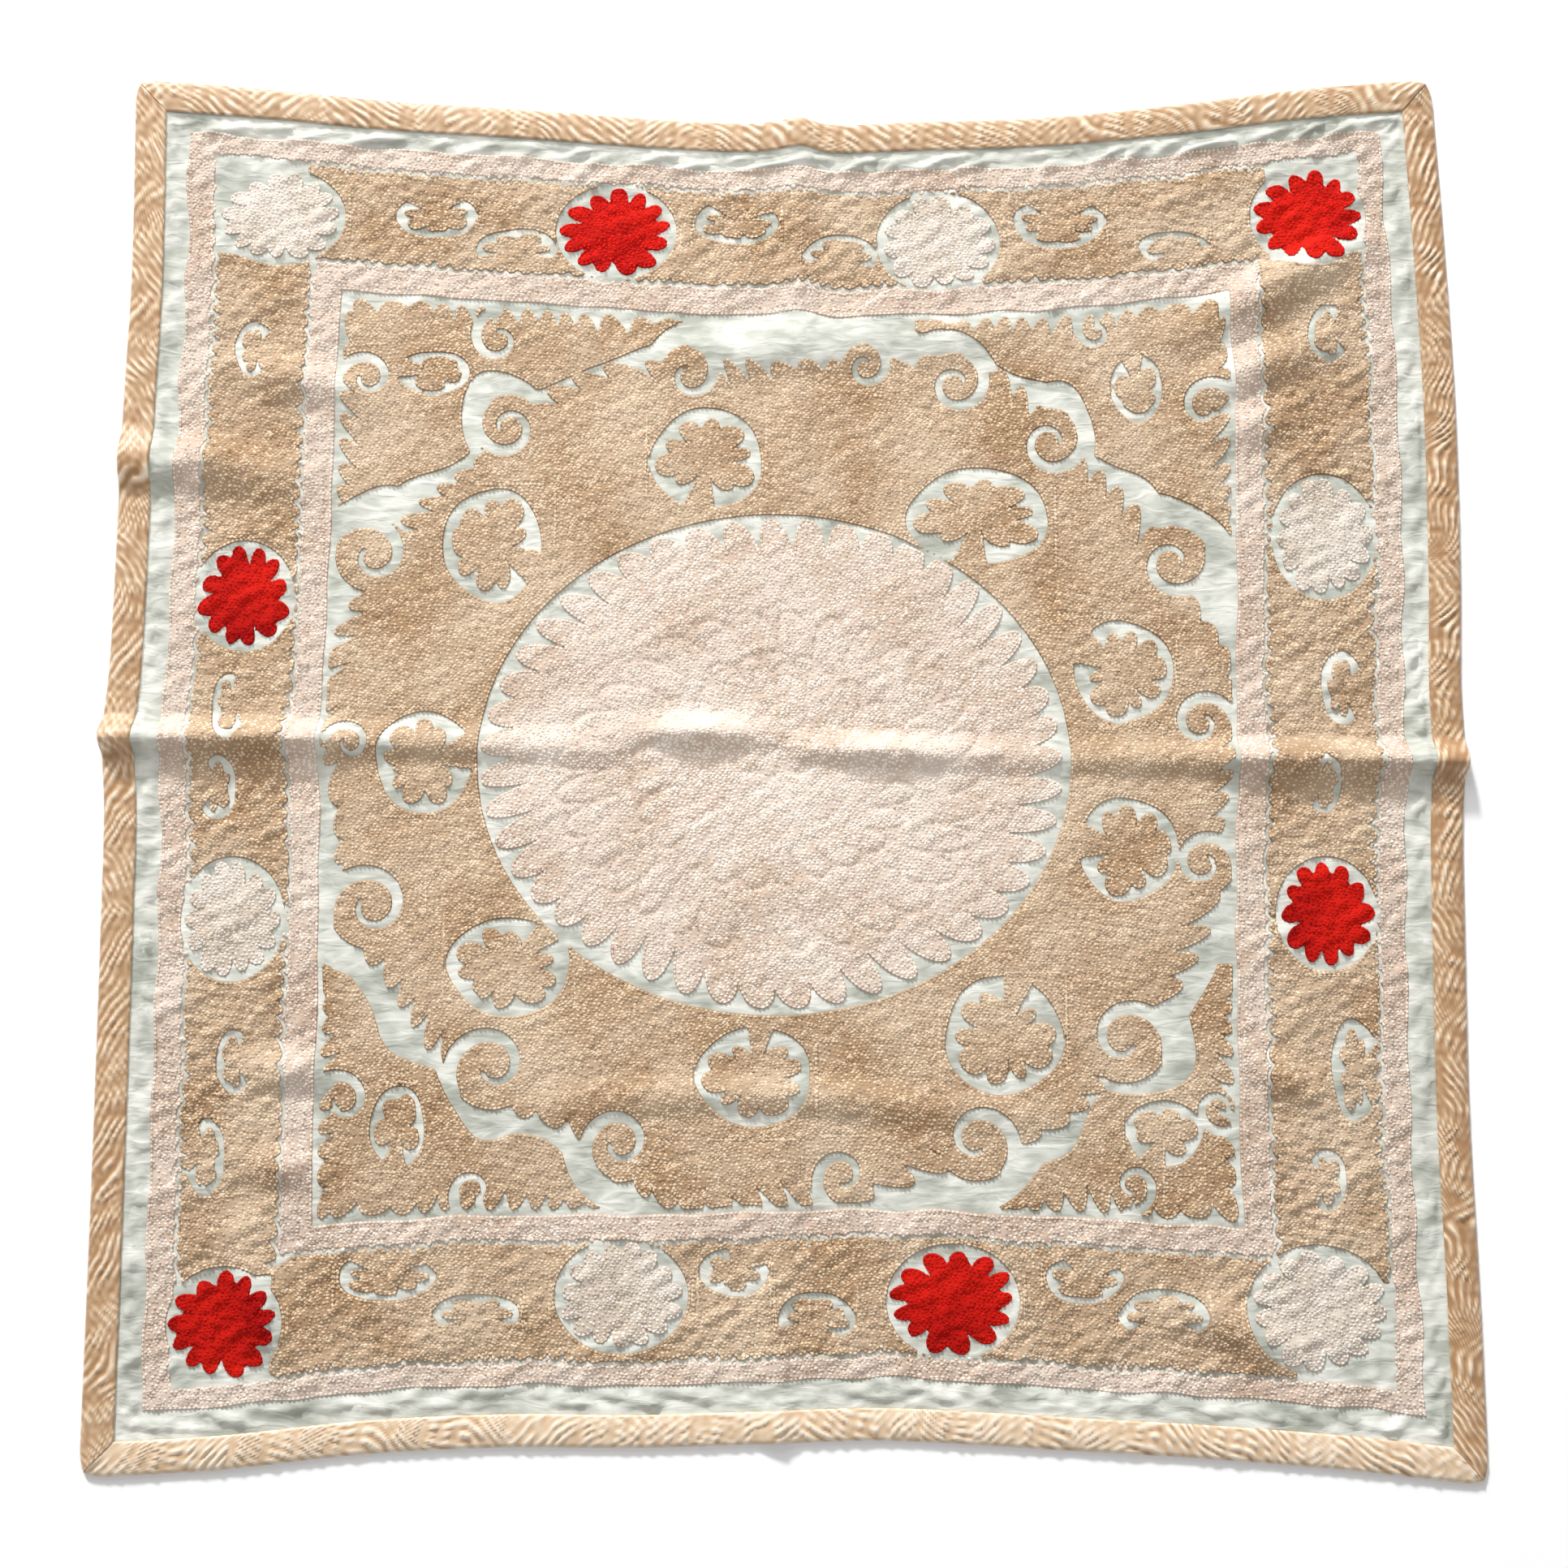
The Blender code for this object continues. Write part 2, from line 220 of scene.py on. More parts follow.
CORNER_PALMETTES = (
    Palmette(-262, 288, 27, 16, 3, 165, 26, 0.16), Palmette(262, 276, 19, 25, 4, 100, 22, 0.18),
    Palmette(-277, -269, 19, 29, 4, 265, 24, 0.17), Palmette(271, -273, 27, 23, 5, 250, 20, 0.18),
)
BORDER_PALMETTES = (
    Palmette(-262, 410, 30, 17, 5, 92, 44, 0.18), Palmette(-201, 384, 30, 15, 4, 268, 62, 0.15),
    Palmette(-36, 405, 31, 17, 5, 80, 50, 0.16), Palmette(42, 379, 27, 15, 4, 262, 58, 0.16),
    Palmette(206, 404, 34, 19, 6, 88, 42, 0.18), Palmette(292, 385, 26, 12, 3, 300, 60, 0.16),
    Palmette(-396, 306, 14, 21, 4, 350, 50, 0.20), Palmette(-406, 36, 13, 24, 4, 20, 52, 0.20),
    Palmette(-414, -24, 14, 23, 4, 172, 48, 0.21), Palmette(-394, -222, 14, 22, 4, 10, 55, 0.18),
    Palmette(-414, -290, 14, 26, 4, 160, 44, 0.20), Palmette(406, 318, 15, 21, 4, 10, 46, 0.21),
    Palmette(408, 50, 15, 27, 5, 350, 42, 0.23), Palmette(392, -22, 13, 20, 4, 170, 58, 0.17),
    Palmette(409, -228, 17, 36, 6, 352, 38, 0.25), Palmette(386, -306, 14, 21, 4, 190, 46, 0.20),
    Palmette(-283, -374, 34, 16, 5, 86, 48, 0.17), Palmette(-218, -400, 30, 14, 4, 272, 56, 0.16),
    Palmette(-36, -370, 24, 17, 4, 60, 40, 0.20), Palmette(22, -402, 27, 17, 5, 255, 50, 0.17),
    Palmette(212, -376, 27, 16, 4, 75, 44, 0.18), Palmette(268, -400, 31, 17, 5, 268, 48, 0.17),
)
WREATH_SCROLLS = (
    Scroll(-304, 149, 22, 62, Turn.RIGHT), Scroll(286, 143, 22, 297, Turn.RIGHT),
    Scroll(-206, 246, 20, 218, Turn.LEFT), Scroll(197, 234, 21, 319, Turn.RIGHT),
    Scroll(127, 279, 19, 335, Turn.RIGHT), Scroll(304, 24, 18, 95, Turn.LEFT),
    Scroll(303, -79, 19, 77, Turn.LEFT), Scroll(-299, -110, 25, 110, Turn.RIGHT),
    Scroll(-317, 8, 13, 88, Turn.RIGHT), Scroll(-210, -225, 25, 137, Turn.RIGHT),
    Scroll(-118, -280, 22, 158, Turn.RIGHT), Scroll(41, -303, 18, 189, Turn.RIGHT),
    Scroll(137, -278, 23, 28, Turn.LEFT), Scroll(244, -206, 25, 51, Turn.LEFT),
    Scroll(-71, 286, 18, 12, Turn.RIGHT), Scroll(60, 292, 14, 350, Turn.RIGHT),
)
CORNER_SCROLLS = (
    Scroll(-311, 284, 17, 110, Turn.RIGHT), Scroll(-214, 314, 17, 170, Turn.LEFT),
    Scroll(313, 262, 18, 80, Turn.LEFT), Scroll(232, 320, 13, 170, Turn.LEFT),
    Scroll(-317, -250, 18, 100, Turn.RIGHT), Scroll(-222, -314, 15, 200, Turn.RIGHT),
    Scroll(310, -256, 15, 260, Turn.RIGHT), Scroll(248, -310, 14, 340, Turn.LEFT),
)

# Distances in from the outer edge, for the left, right, top and bottom sides: both edges of the rose
# bands, both edges of the tan border between them, and the edge of the field inside
BANDS_START_MM = (41, 42, 37, 42)
BANDS_END_MM = (158, 165, 151, 161)
TAN_START_MM = (64, 64, 56, 60)
TAN_END_MM = (133, 141, 127, 140)
FIELD_MM = (161, 168, 155, 164)
# The size of the border's four corners, which stay bare round their rosettes
CORNER_CELL = 131 * MM

# The wreath's outer radius round the medallion, every 15 degrees from the right, leftwards round
WREATH_RADII_MM = (
    329, 335, 330, 325, 327, 316, 297, 308, 318, 322, 325, 330,
    329, 329, 316, 318, 312, 319, 317, 317, 329, 322, 334, 337,
)
MEDALLION = Flower(-8, -5, 216, 184, 47, 0)
MEDALLION_RINGS = (
    Flower(-8, 30, 58, 46, 16, 0), Flower(-10, -14, 104, 84, 24, 7), Flower(-8, -20, 156, 126, 30, 3),
)


class Gather(NamedTuple):
    """How one side's binding is gathered, and the painted light that makes its satin lighter or darker."""

    height: float
    painted_side_light: float  # painted light: how far the satin's shade is moved towards its light end, for how the light falls on this side
    slant: float  # how far a wrinkle runs along the side for each metre inward


# Painted light: the bottom strip's satin is painted lighter, and the top and upright strips darker
BINDING_LOOKS = {
    Side.TOP: Gather(1.4 * MM, -0.12, -1.6), Side.BOTTOM: Gather(1.6 * MM, 0.20, 1.6),
    Side.LEFT: Gather(1.5 * MM, -0.18, -1.8), Side.RIGHT: Gather(1.9 * MM, -0.24, 1.8),
}

# The bare channel between the wreath and a corner leaf: its width along the leaf's arms, and the pocket on
# each side of the corner's diagonal
CHANNEL_MM = 6.0
POCKET_MM = 15.0
POCKET_DEG = 8.0
POCKET_SPREAD_DEG = 4.0
# Where the leaves' arms end: x on the upper side, x on the lower side, and how far from the middle on the
# upright sides
UPPER_TIPS_MM = (-57, 97)
LOWER_TIPS_MM = (-114, 142)
SIDE_TIPS_MM = 152
# How far from its tip an arm's teeth begin and are full, how much wider the channel is at the tip, and
# where it narrows
TEETH_GROW = (0.005, 0.070)
CHANNEL_AT_TIP = 15 * MM
CHANNEL_NARROWS = (-0.004, 0.085)

# The shallow grooves between the medallion's rings of petals, and between the rows of the rose bands
RING_DEPTH = 1.2 * MM
RING_WIDTH = 1.5 * MM
ROW_DEPTH = 0.7 * MM
ROW_PITCH = 4.4 * MM

# Cellulose's usual index of refraction
COTTON_IOR = 1.53
# Metres from band to band in a wave texture whose scale is 1
WAVE_PERIOD = 0.314


def linear(hex_colour: str) -> tuple[float, float, float]:
    """Turns an sRGB hex colour to linear light.

    Args:
        hex_colour: six hexadecimal digits.

    Returns:
        Red, green and blue, each from 0 to 1.
    """
    parts = [int(hex_colour[i : i + 2], 16) / 255 for i in (0, 2, 4)]
    return tuple(c / 12.92 if c <= 0.04045 else ((c + 0.055) / 1.055) ** 2.4 for c in parts)


def add_node(tree: bpy.types.NodeTree, kind: str, links: dict[Any, Any], **settings: Any) -> bpy.types.Node:
    """Adds a shader node with its settings and links.

    Args:
        tree: the node tree that gets the node.
        kind: the node's Blender type.
        links: for each input, by name or number, the output socket or the value that goes there.
        **settings: properties of the node.

    Returns:
        The new node.
    """
    node = tree.nodes.new(kind)
    for name, value in settings.items():
        setattr(node, name, value)
    for key, value in links.items():
        if isinstance(value, bpy.types.NodeSocket):
            tree.links.new(value, node.inputs[key])
        else:
            node.inputs[key].default_value = value
    return node


def fill_ramp(node: bpy.types.Node, stops: list[tuple[float, str]]) -> None:
    """Sets a colour ramp's stops.

    Args:
        node: the colour ramp.
        stops: each stop's position and its sRGB hex colour, from low to high.
    """
    elements = node.color_ramp.elements
    while len(elements) < len(stops):
        elements.new(1.0)
    for element, (position, colour) in zip(elements, stops):
        element.position = position
        element.color = (*linear(colour), 1.0)


def start_material(name: str, values: dict[str, float]) -> tuple[Any, Any, Any]:
    """Starts a material with the plain values of its shader.

    Args:
        name: the material's name.
        values: the value of each of the shader's sockets that differs from the usual.

    Returns:
        The material, its node tree and its shader node.
    """
    material = bpy.data.materials.new(name)
    material.use_nodes = True
    shader = material.node_tree.nodes["Principled BSDF"]
    for socket, value in values.items():
        shader.inputs[socket].default_value = value
    return material, material.node_tree, shader


@dataclass(frozen=True)
class CottonYarn:
    """Mercerised cotton embroidery yarn, twisted and worked in chain stitch.

    Each stitch lies as a small round loop with its own shade, so the fill looks grainy, and the twisted
    fibres keep it nearly matt with a faint soft edge of light. The shade also carries painted highlight
    on the loops' tops and painted shade at their feet, along the bed's rim and in the pattern's grooves.
    """

    name: str
    deep: str
    middle: str
    light: str
    roughness: float = 0.82
    sheen: float = 0.25
    gloss: float = 0.4
    ply_mm: float = 0.9  # the twist of the yarn, drawn twice as coarse as it is so that it shows

    def build(self) -> bpy.types.Material:
        """Builds the material.

        Returns:
            The finished material.
        """
        material, tree, shader = start_material(self.name, {
            "Roughness": self.roughness, "Sheen Weight": self.sheen, "Sheen Roughness": 0.5,
            "IOR": COTTON_IOR, "Specular IOR Level": self.gloss,
        })
        place = add_node(tree, "ShaderNodeTexCoord", {}).outputs["Object"]
        shade = add_node(tree, "ShaderNodeAttribute", {}, attribute_name="shade").outputs["Fac"]
        ramp = add_node(tree, "ShaderNodeValToRGB", {"Fac": shade})
        fill_ramp(ramp, [(0.0, self.deep), (0.5, self.middle), (1.0, self.light)])
        patches = add_node(tree, "ShaderNodeTexNoise", {"Vector": place, "Scale": 14.0, "Detail": 3.0})
        amount = add_node(
            tree, "ShaderNodeMapRange",
            {"Value": patches.outputs["Fac"], "From Min": 0.35, "From Max": 0.65, "To Max": 0.35},
        )
        mixed = add_node(
            tree, "ShaderNodeMix", {0: amount.outputs[0], 6: ramp.outputs["Color"]}, data_type="RGBA"
        )
        mixed.inputs[7].default_value = (*linear(self.light), 1.0)
        tree.links.new(mixed.outputs[2], shader.inputs["Base Color"])
        twist = add_node(
            tree, "ShaderNodeTexNoise", {"Vector": place, "Scale": 1 / (self.ply_mm * MM), "Detail": 1.0}
        )
        bump = add_node(
            tree, "ShaderNodeBump", {"Height": twist.outputs["Fac"], "Strength": 0.35, "Distance": 0.3 * MM}
        )
        tree.links.new(bump.outputs["Normal"], shader.inputs["Normal"])
        return material


@dataclass(frozen=True)
class PlainWeaveCotton:
    """Bleached cotton in plain weave, washed and never ironed.

    The eye sees a cool pale cloth with a fine even weave, fully matt, and short wrinkles where the
    stitches draw it together. The colour carries painted shade in the wrinkles' hollows and painted
    highlight on their crests.
    """

    name: str = "plain_weave_cotton_washed"
    pale: str = "dfdfd6"
    # the grey of the wrinkles' painted shade, and of the darker patches
    cool: str = "a9aca0"
    thread_mm: float = 1.1  # real threads lie 0.4 mm apart, too fine to show, so they are drawn coarser
    wrinkle_mm: float = 8.0  # between the short wrinkles that run across
    roughness: float = 0.9

    def build(self) -> bpy.types.Material:
        """Builds the material.

        Returns:
            The finished material.
        """
        material, tree, shader = start_material(
            self.name, {"Roughness": self.roughness, "Sheen Weight": 0.15, "IOR": COTTON_IOR}
        )
        place = add_node(tree, "ShaderNodeTexCoord", {}).outputs["Object"]
        patches = add_node(tree, "ShaderNodeTexNoise", {"Vector": place, "Scale": 22.0, "Detail": 4.0})
        drawn = add_node(tree, "ShaderNodeMapping", {"Vector": place, "Scale": (0.35, 1.0, 1.0)})
        scale = 1 / (self.wrinkle_mm * MM)
        wrinkles = add_node(
            tree, "ShaderNodeTexNoise",
            {"Vector": drawn.outputs[0], "Scale": scale, "Detail": 2.0, "Distortion": 0.6},
        ).outputs["Fac"]
        # painted shade and highlight: the wrinkles grey the colour in their hollows and lighten it on their
        # crests, and the patches vary the tone at random
        total = add_node(
            tree, "ShaderNodeMath", {0: wrinkles, 1: 0.7, 2: patches.outputs["Fac"]},
            operation="MULTIPLY_ADD",
        )
        ramp = add_node(tree, "ShaderNodeValToRGB", {"Fac": total.outputs[0]})
        fill_ramp(ramp, [(0.66, self.cool), (1.0, self.pale)])
        tree.links.new(ramp.outputs["Color"], shader.inputs["Base Color"])
        waves = [
            add_node(
                tree, "ShaderNodeTexWave",
                {"Vector": place, "Scale": WAVE_PERIOD / (self.thread_mm * MM), "Distortion": 0.6},
                bands_direction=direction,
            ).outputs["Fac"]
            for direction in ("X", "Y")
        ]
        weave = add_node(tree, "ShaderNodeMath", {0: waves[0], 1: waves[1]}, operation="MULTIPLY")
        bump = add_node(
            tree, "ShaderNodeBump", {"Height": weave.outputs[0], "Strength": 0.3, "Distance": 0.15 * MM}
        )
        creased = add_node(
            tree, "ShaderNodeBump",
            {"Height": wrinkles, "Normal": bump.outputs[0], "Strength": 0.7, "Distance": 2.0 * MM},
        )
        tree.links.new(creased.outputs["Normal"], shader.inputs["Normal"])
        return material


@dataclass(frozen=True)
class BiasSatin:
    """Cotton satin cut on the bias, folded and sewn down with its stretch.

    Its satin has a soft silky sheen, and its colour carries a painted highlight on the crests of its
    slanting wrinkles and a painted shade of deeper peach in the hollows.
    """

    name: str = "cotton_satin_bias_cut"
    deep: str = "a67c52"
    middle: str = "d9bb98"
    light: str = "f1e0ca"
    roughness: float = 0.5
    float_mm: float = 1.2  # the satin's floats, drawn coarser than their real 0.3 mm so that they show

    def build(self) -> bpy.types.Material:
        """Builds the material.

        Returns:
            The finished material.
        """
        material, tree, shader = start_material(
            self.name, {"Roughness": self.roughness, "Sheen Weight": 0.35, "IOR": COTTON_IOR}
        )
        place = add_node(tree, "ShaderNodeTexCoord", {}).outputs["Object"]
        crest = add_node(tree, "ShaderNodeAttribute", {}, attribute_name="shade").outputs["Fac"]
        patches = add_node(tree, "ShaderNodeTexNoise", {"Vector": place, "Scale": 45.0, "Detail": 3.0})
        # the shade attribute brings the painted highlight of the crests and the painted shade of the
        # hollows; the patches vary the tone at random
        total = add_node(
            tree, "ShaderNodeMath", {0: patches.outputs["Fac"], 1: 0.25, 2: crest}, operation="MULTIPLY_ADD"
        )
        ramp = add_node(tree, "ShaderNodeValToRGB", {"Fac": total.outputs[0]})
        fill_ramp(ramp, [(0.15, self.deep), (0.6, self.middle), (1.0, self.light)])
        tree.links.new(ramp.outputs["Color"], shader.inputs["Base Color"])
        floats = add_node(
            tree, "ShaderNodeTexWave",
            {"Vector": place, "Scale": WAVE_PERIOD / (self.float_mm * MM), "Distortion": 1.5},
            bands_direction="DIAGONAL",
        )
        bump = add_node(
            tree, "ShaderNodeBump",
            {"Height": floats.outputs["Fac"], "Strength": 0.25, "Distance": 0.15 * MM},
        )
        tree.links.new(bump.outputs["Normal"], shader.inputs["Normal"])
        return material


@dataclass(frozen=True)
class PaleSweep:
    """A seamless sheet of matt white paper, which gives a plain pale floor."""

    name: str = "matt_white_paper"
    colour: str = "ffffff"

    def build(self) -> bpy.types.Material:
        """Builds the material.

        Returns:
            The finished material.
        """
        material, _, shader = start_material(self.name, {"Roughness": 0.95})
        shader.inputs["Base Color"].default_value = (*linear(self.colour), 1.0)
        return material


TAN_YARN = CottonYarn("cotton_chain_stitch_tan", "86633f", "d6b691", "f4e3cb")
PALE_YARN = CottonYarn("cotton_chain_stitch_blush", "b3977f", "f0decd", "fef8f0")
ROSETTE_YARN = CottonYarn("cotton_chain_stitch_ecru", "b09d87", "ecdfd1", "fcf7f1")
BAND_YARN = CottonYarn("cotton_chain_stitch_rose_beige", "b0937c", "e9d6c5", "faf0e5")
RED_YARN = CottonYarn("cotton_chain_stitch_red", "8f0301", "d60e08", "ff2a14", sheen=0.02, gloss=0.12)


class Noise:
    """Smooth seeded noise made of a few crossing waves."""

    def __init__(self, seed: int, wavelength: float, waves: int = 9) -> None:
        """Draws the waves.

        Args:
            seed: makes the noise the same in each run.
            wavelength: the mean distance from crest to crest.
            waves: how many waves cross.
        """
        rng = np.random.default_rng(seed)
        angle = rng.uniform(0, 2 * math.pi, waves)
        number = 2 * math.pi / (wavelength * rng.uniform(0.6, 1.6, waves))
        self.kx = np.cos(angle) * number
        self.ky = np.sin(angle) * number
        self.phase = rng.uniform(0, 2 * math.pi, waves)

    def __call__(self, x: Array, y: Array) -> Array:
        """The noise at each place, mostly from -1 to 1."""
        total = sum(np.sin(kx * x + ky * y + p) for kx, ky, p in zip(self.kx, self.ky, self.phase))
        return total / math.sqrt(len(self.phase) * 0.7)


def smooth(value: Array, start: float, end: float) -> Array:
    """0 before start, 1 after end, and an easy curve between."""
    t = np.clip((value - start) / (end - start), 0.0, 1.0)
    return t * t * (3 - 2 * t)


class Insets(NamedTuple):
    """The distances of places in from the cover's four edges."""

    left: Array
    right: Array
    top: Array
    bottom: Array

    @property
    def nearest(self) -> Array:
        """The distance in from the nearest edge."""
        return np.minimum(np.minimum(self.left, self.right), np.minimum(self.top, self.bottom))

    @property
    def upright(self) -> Array:
        """Whether the nearest edge is the left or the right one."""
        return np.minimum(self.left, self.right) < np.minimum(self.top, self.bottom)


class BySide(NamedTuple):
    """A value along the two upright sides, the top side and the bottom side."""

    upright: float
    top: float
    bottom: float

    def at(self, upright: Array, y: Array) -> Array:
        """The value at each place."""
        return np.where(upright, self.upright, np.where(y > 0, self.top, self.bottom))


@dataclass
class ClothForm:
    """The outline and the folds of the cover, as part.py has them, and the cloth's own unevenness.

    The folds stand a little higher than in the solid, so that they throw the shade of the photograph.
    A pair of distances tells where something begins and where it is complete, in from the edge.
    """

    curve_points: int = 801
    fold_gain: float = 1.1
    wave_gain: float = 1.45
    rest_height: float = 0.9 * MM  # of the cloth's upper side where nothing lifts it
    most_sunk: float = 0.45 * MM
    free_of_slot: tuple[float, float] = (0.024, 0.030)
    border_ends: tuple[float, float] = (0.13, 0.19)

    # the bare strip beside the binding, which the stitches drag into slanting wrinkles
    bare_starts: tuple[float, float] = (0.0245, 0.031)
    bare_ends: tuple[float, float] = (0.033, 0.044)
    drag_lean: BySide = BySide(0.8, 2.8, 3.2)
    drag_pitch: BySide = BySide(6.5 * MM, 14.0 * MM, 22.0 * MM)  # a wrinkle's length is pi times this
    drag_strength: BySide = BySide(0.4, 1.2, 0.7)
    drag_height: float = 1.7 * MM
    drag_wander: float = 2.6
    bare_pucker: float = 0.5 * MM
    bare_fine: float = 0.45 * MM
    bare_lift: float = 1.2 * MM

    # the quilted ground under the stitches, and the ripples of the stitched cloth
    quilt_ripple: float = 0.5 * MM
    quilt_pucker: float = 0.6 * MM
    quilt_calm: float = 0.6  # how much less of it there is in the field
    field_crinkle: float = 0.55
    border_crinkle: float = 0.65  # what the borders have beyond that
    fine_crinkle: float = 0.32 * MM
    broad_crinkle: float = 0.11 * MM

    def __post_init__(self) -> None:
        """Draws each edge's smooth curve once, on a fine table."""
        self.along = np.linspace(-1, 1, self.curve_points)
        self.edges = {
            Side.TOP: self.curve(TOP_EDGE),
            Side.BOTTOM: self.curve(BOTTOM_EDGE),
            Side.LEFT: self.curve(LEFT_EDGE),
            Side.RIGHT: self.curve(RIGHT_EDGE),
        }
        self.pucker = Noise(5, 0.034)
        self.ripple = Noise(8, 0.015)
        self.wrinkle = Noise(13, 0.012, 12)
        self.swell = Noise(11, 0.13)

    def curve(self, knots: tuple[Knot, ...]) -> Array:
        """A smooth curve through an edge's table.

        Args:
            knots: the edge's table.

        Returns:
            The inset in metres at each place in self.along.
        """
        at = np.array([k.along for k in knots])
        value = np.array([k.inset_mm for k in knots]) * MM
        low = np.maximum(np.arange(len(at)) - 1, 0)
        high = np.minimum(np.arange(len(at)) + 1, len(at) - 1)
        slope = (value[high] - value[low]) / (at[high] - at[low])
        i = np.clip(np.searchsorted(at, self.along) - 1, 0, len(at) - 2)
        span = at[i + 1] - at[i]
        t = (self.along - at[i]) / span
        return (
            value[i] * (1 + 2 * t) * (1 - t) ** 2
            + value[i + 1] * (3 - 2 * t) * t**2
            + slope[i] * span * t * (1 - t) ** 2
            - slope[i + 1] * span * t**2 * (1 - t)
        )

    def inset(self, side: Side, along: Array) -> Array:
        """How far a side lies inside the rectangle at places along it."""
        return np.interp(along, self.along, self.edges[side])

    def place(self, a: Array, b: Array) -> tuple[Array, Array]:
        """Places on the cloth.

        Args:
            a: from -1 at the left edge to 1 at the right edge.
            b: from -1 at the bottom edge to 1 at the top edge.

        Returns:
            x and y.
        """
        left = -WIDTH / 2 + self.inset(Side.LEFT, b)
        right = WIDTH / 2 - self.inset(Side.RIGHT, b)
        bottom = -LENGTH / 2 + self.inset(Side.BOTTOM, a)
        top = LENGTH / 2 - self.inset(Side.TOP, a)
        from_corner = np.hypot((1 - np.abs(a)) * WIDTH / 2, (1 - np.abs(b)) * LENGTH / 2)
        pull = CORNER_PULL * np.maximum(0, 1 - from_corner / CORNER_REACH) ** 2 / math.sqrt(2)
        x = left + (right - left) * (a + 1) / 2 - np.sign(a) * pull
        y = bottom + (top - bottom) * (b + 1) / 2 - np.sign(b) * pull
        return x, y

    def insets(self, x: Array, y: Array) -> Insets:
        """The distances of places in from the four edges.

        Args:
            x: places across.
            y: places along.

        Returns:
            The distances.
        """
        a, b = x / (WIDTH / 2), y / (LENGTH / 2)
        return Insets(
            x + WIDTH / 2 - self.inset(Side.LEFT, b),
            WIDTH / 2 - self.inset(Side.RIGHT, b) - x,
            LENGTH / 2 - self.inset(Side.TOP, a) - y,
            y + LENGTH / 2 - self.inset(Side.BOTTOM, a),
        )

    def ridges(self, x: Array, y: Array) -> Array:
        """How far the folds lift the cloth at each place.

        Args:
            x: places across.
            y: places along.

        Returns:
            The lift in metres.
        """
        total = np.zeros_like(x)
        for fold in MIDDLE_CREASE + OTHER_CREASES + WAVES:
            best = np.full_like(x, np.inf)
            height = np.zeros_like(x)
            below = np.zeros_like(x, bool)
            for start, end in zip(fold.crest, fold.crest[1:]):
                dx, dy = end.x - start.x, end.y - start.y
                t = ((x - start.x) * dx + (y - start.y) * dy) / (dx * dx + dy * dy)
                t = np.clip(t, 0, 1)
                distance = np.hypot(x - start.x - t * dx, y - start.y - t * dy)
                here = start.height_mm + (end.height_mm - start.height_mm) * t * t * (3 - 2 * t)
                height = np.where(distance < best, here * MM, height)
                below = np.where(distance < best, y < start.y + t * dy, below)
                best = np.minimum(best, distance)
            steep = np.where(below, STEEP_SIDE, SOFT_SIDE) if fold in MIDDLE_CREASE else 1.0
            near = np.clip(best / (fold.half_width * steep), 0, 1)
            gain = self.wave_gain if fold in WAVES else self.fold_gain
            total += height * gain * (1 + np.cos(math.pi * near)) / 2
        return total

    def crinkle(self, x: Array, y: Array) -> Array:
        """How far washing has drawn the stitched cloth up into short ripples that run across.

        Args:
            x: places across.
            y: places along.

        Returns:
            The height of the ripples.
        """
        fine = Noise(61, 0.0050, 12)(x * 0.42 + 0.15 * y, y)
        broad = Noise(62, 0.011, 12)(x * 0.6, y)
        left, right, top, bottom = self.insets(x, y)
        less_above = 0.06  # the upper and lower borders crinkle over a narrower strip
        edge = np.minimum(np.minimum(left, right), np.minimum(top, bottom) + less_above)
        strong = self.field_crinkle + self.border_crinkle * (1 - smooth(edge, *self.border_ends))
        return strong * (self.fine_crinkle * fine + self.broad_crinkle * broad)

    def top_of_ground(self, x: Array, y: Array) -> Array:
        """The height of the bare cloth's upper side: folds, tuck into the binding, and puckers.

        Args:
            x: places across.
            y: places along.

        Returns:
            The height in metres.
        """
        insets = self.insets(x, y)
        edge, upright = insets.nearest, insets.upright
        past_left = x - np.minimum(insets.left - STRIP_WIDTH, 0)
        past_right = x + np.minimum(insets.right - STRIP_WIDTH, 0)
        lifted = self.ridges(np.clip(x, past_left, past_right), y)
        tuck = TUCK_HEIGHT * (1 - smooth(edge, STRIP_WIDTH, TUCK_ENDS))
        bare = smooth(edge, *self.bare_starts) * (1 - smooth(edge, *self.bare_ends))
        along = np.where(upright, y, x)
        run = along + self.drag_lean.at(upright, y) * edge
        slant = np.cos(2 * run / self.drag_pitch.at(upright, y) + self.drag_wander * self.swell(x, y))
        strength = self.drag_strength.at(upright, y) * (0.45 + np.abs(self.swell(x + 1, y)))
        drawn = np.where(upright, self.wrinkle(0.35 * x, y), 0.6 * self.wrinkle(x + 0.5 * y, 0.7 * y))
        pull = bare * (
            self.drag_height * slant * strength + self.bare_pucker * self.pucker(x, y)
            + self.bare_fine * drawn + self.bare_lift
        )
        calm = 1 - self.quilt_calm * smooth(edge, *self.border_ends)
        quilt = calm * (self.quilt_ripple * self.ripple(x, y) + self.quilt_pucker * self.pucker(x, y))
        free = smooth(edge, *self.free_of_slot)
        return lifted + tuck + self.rest_height + np.maximum(pull + quilt, -self.most_sunk) * free


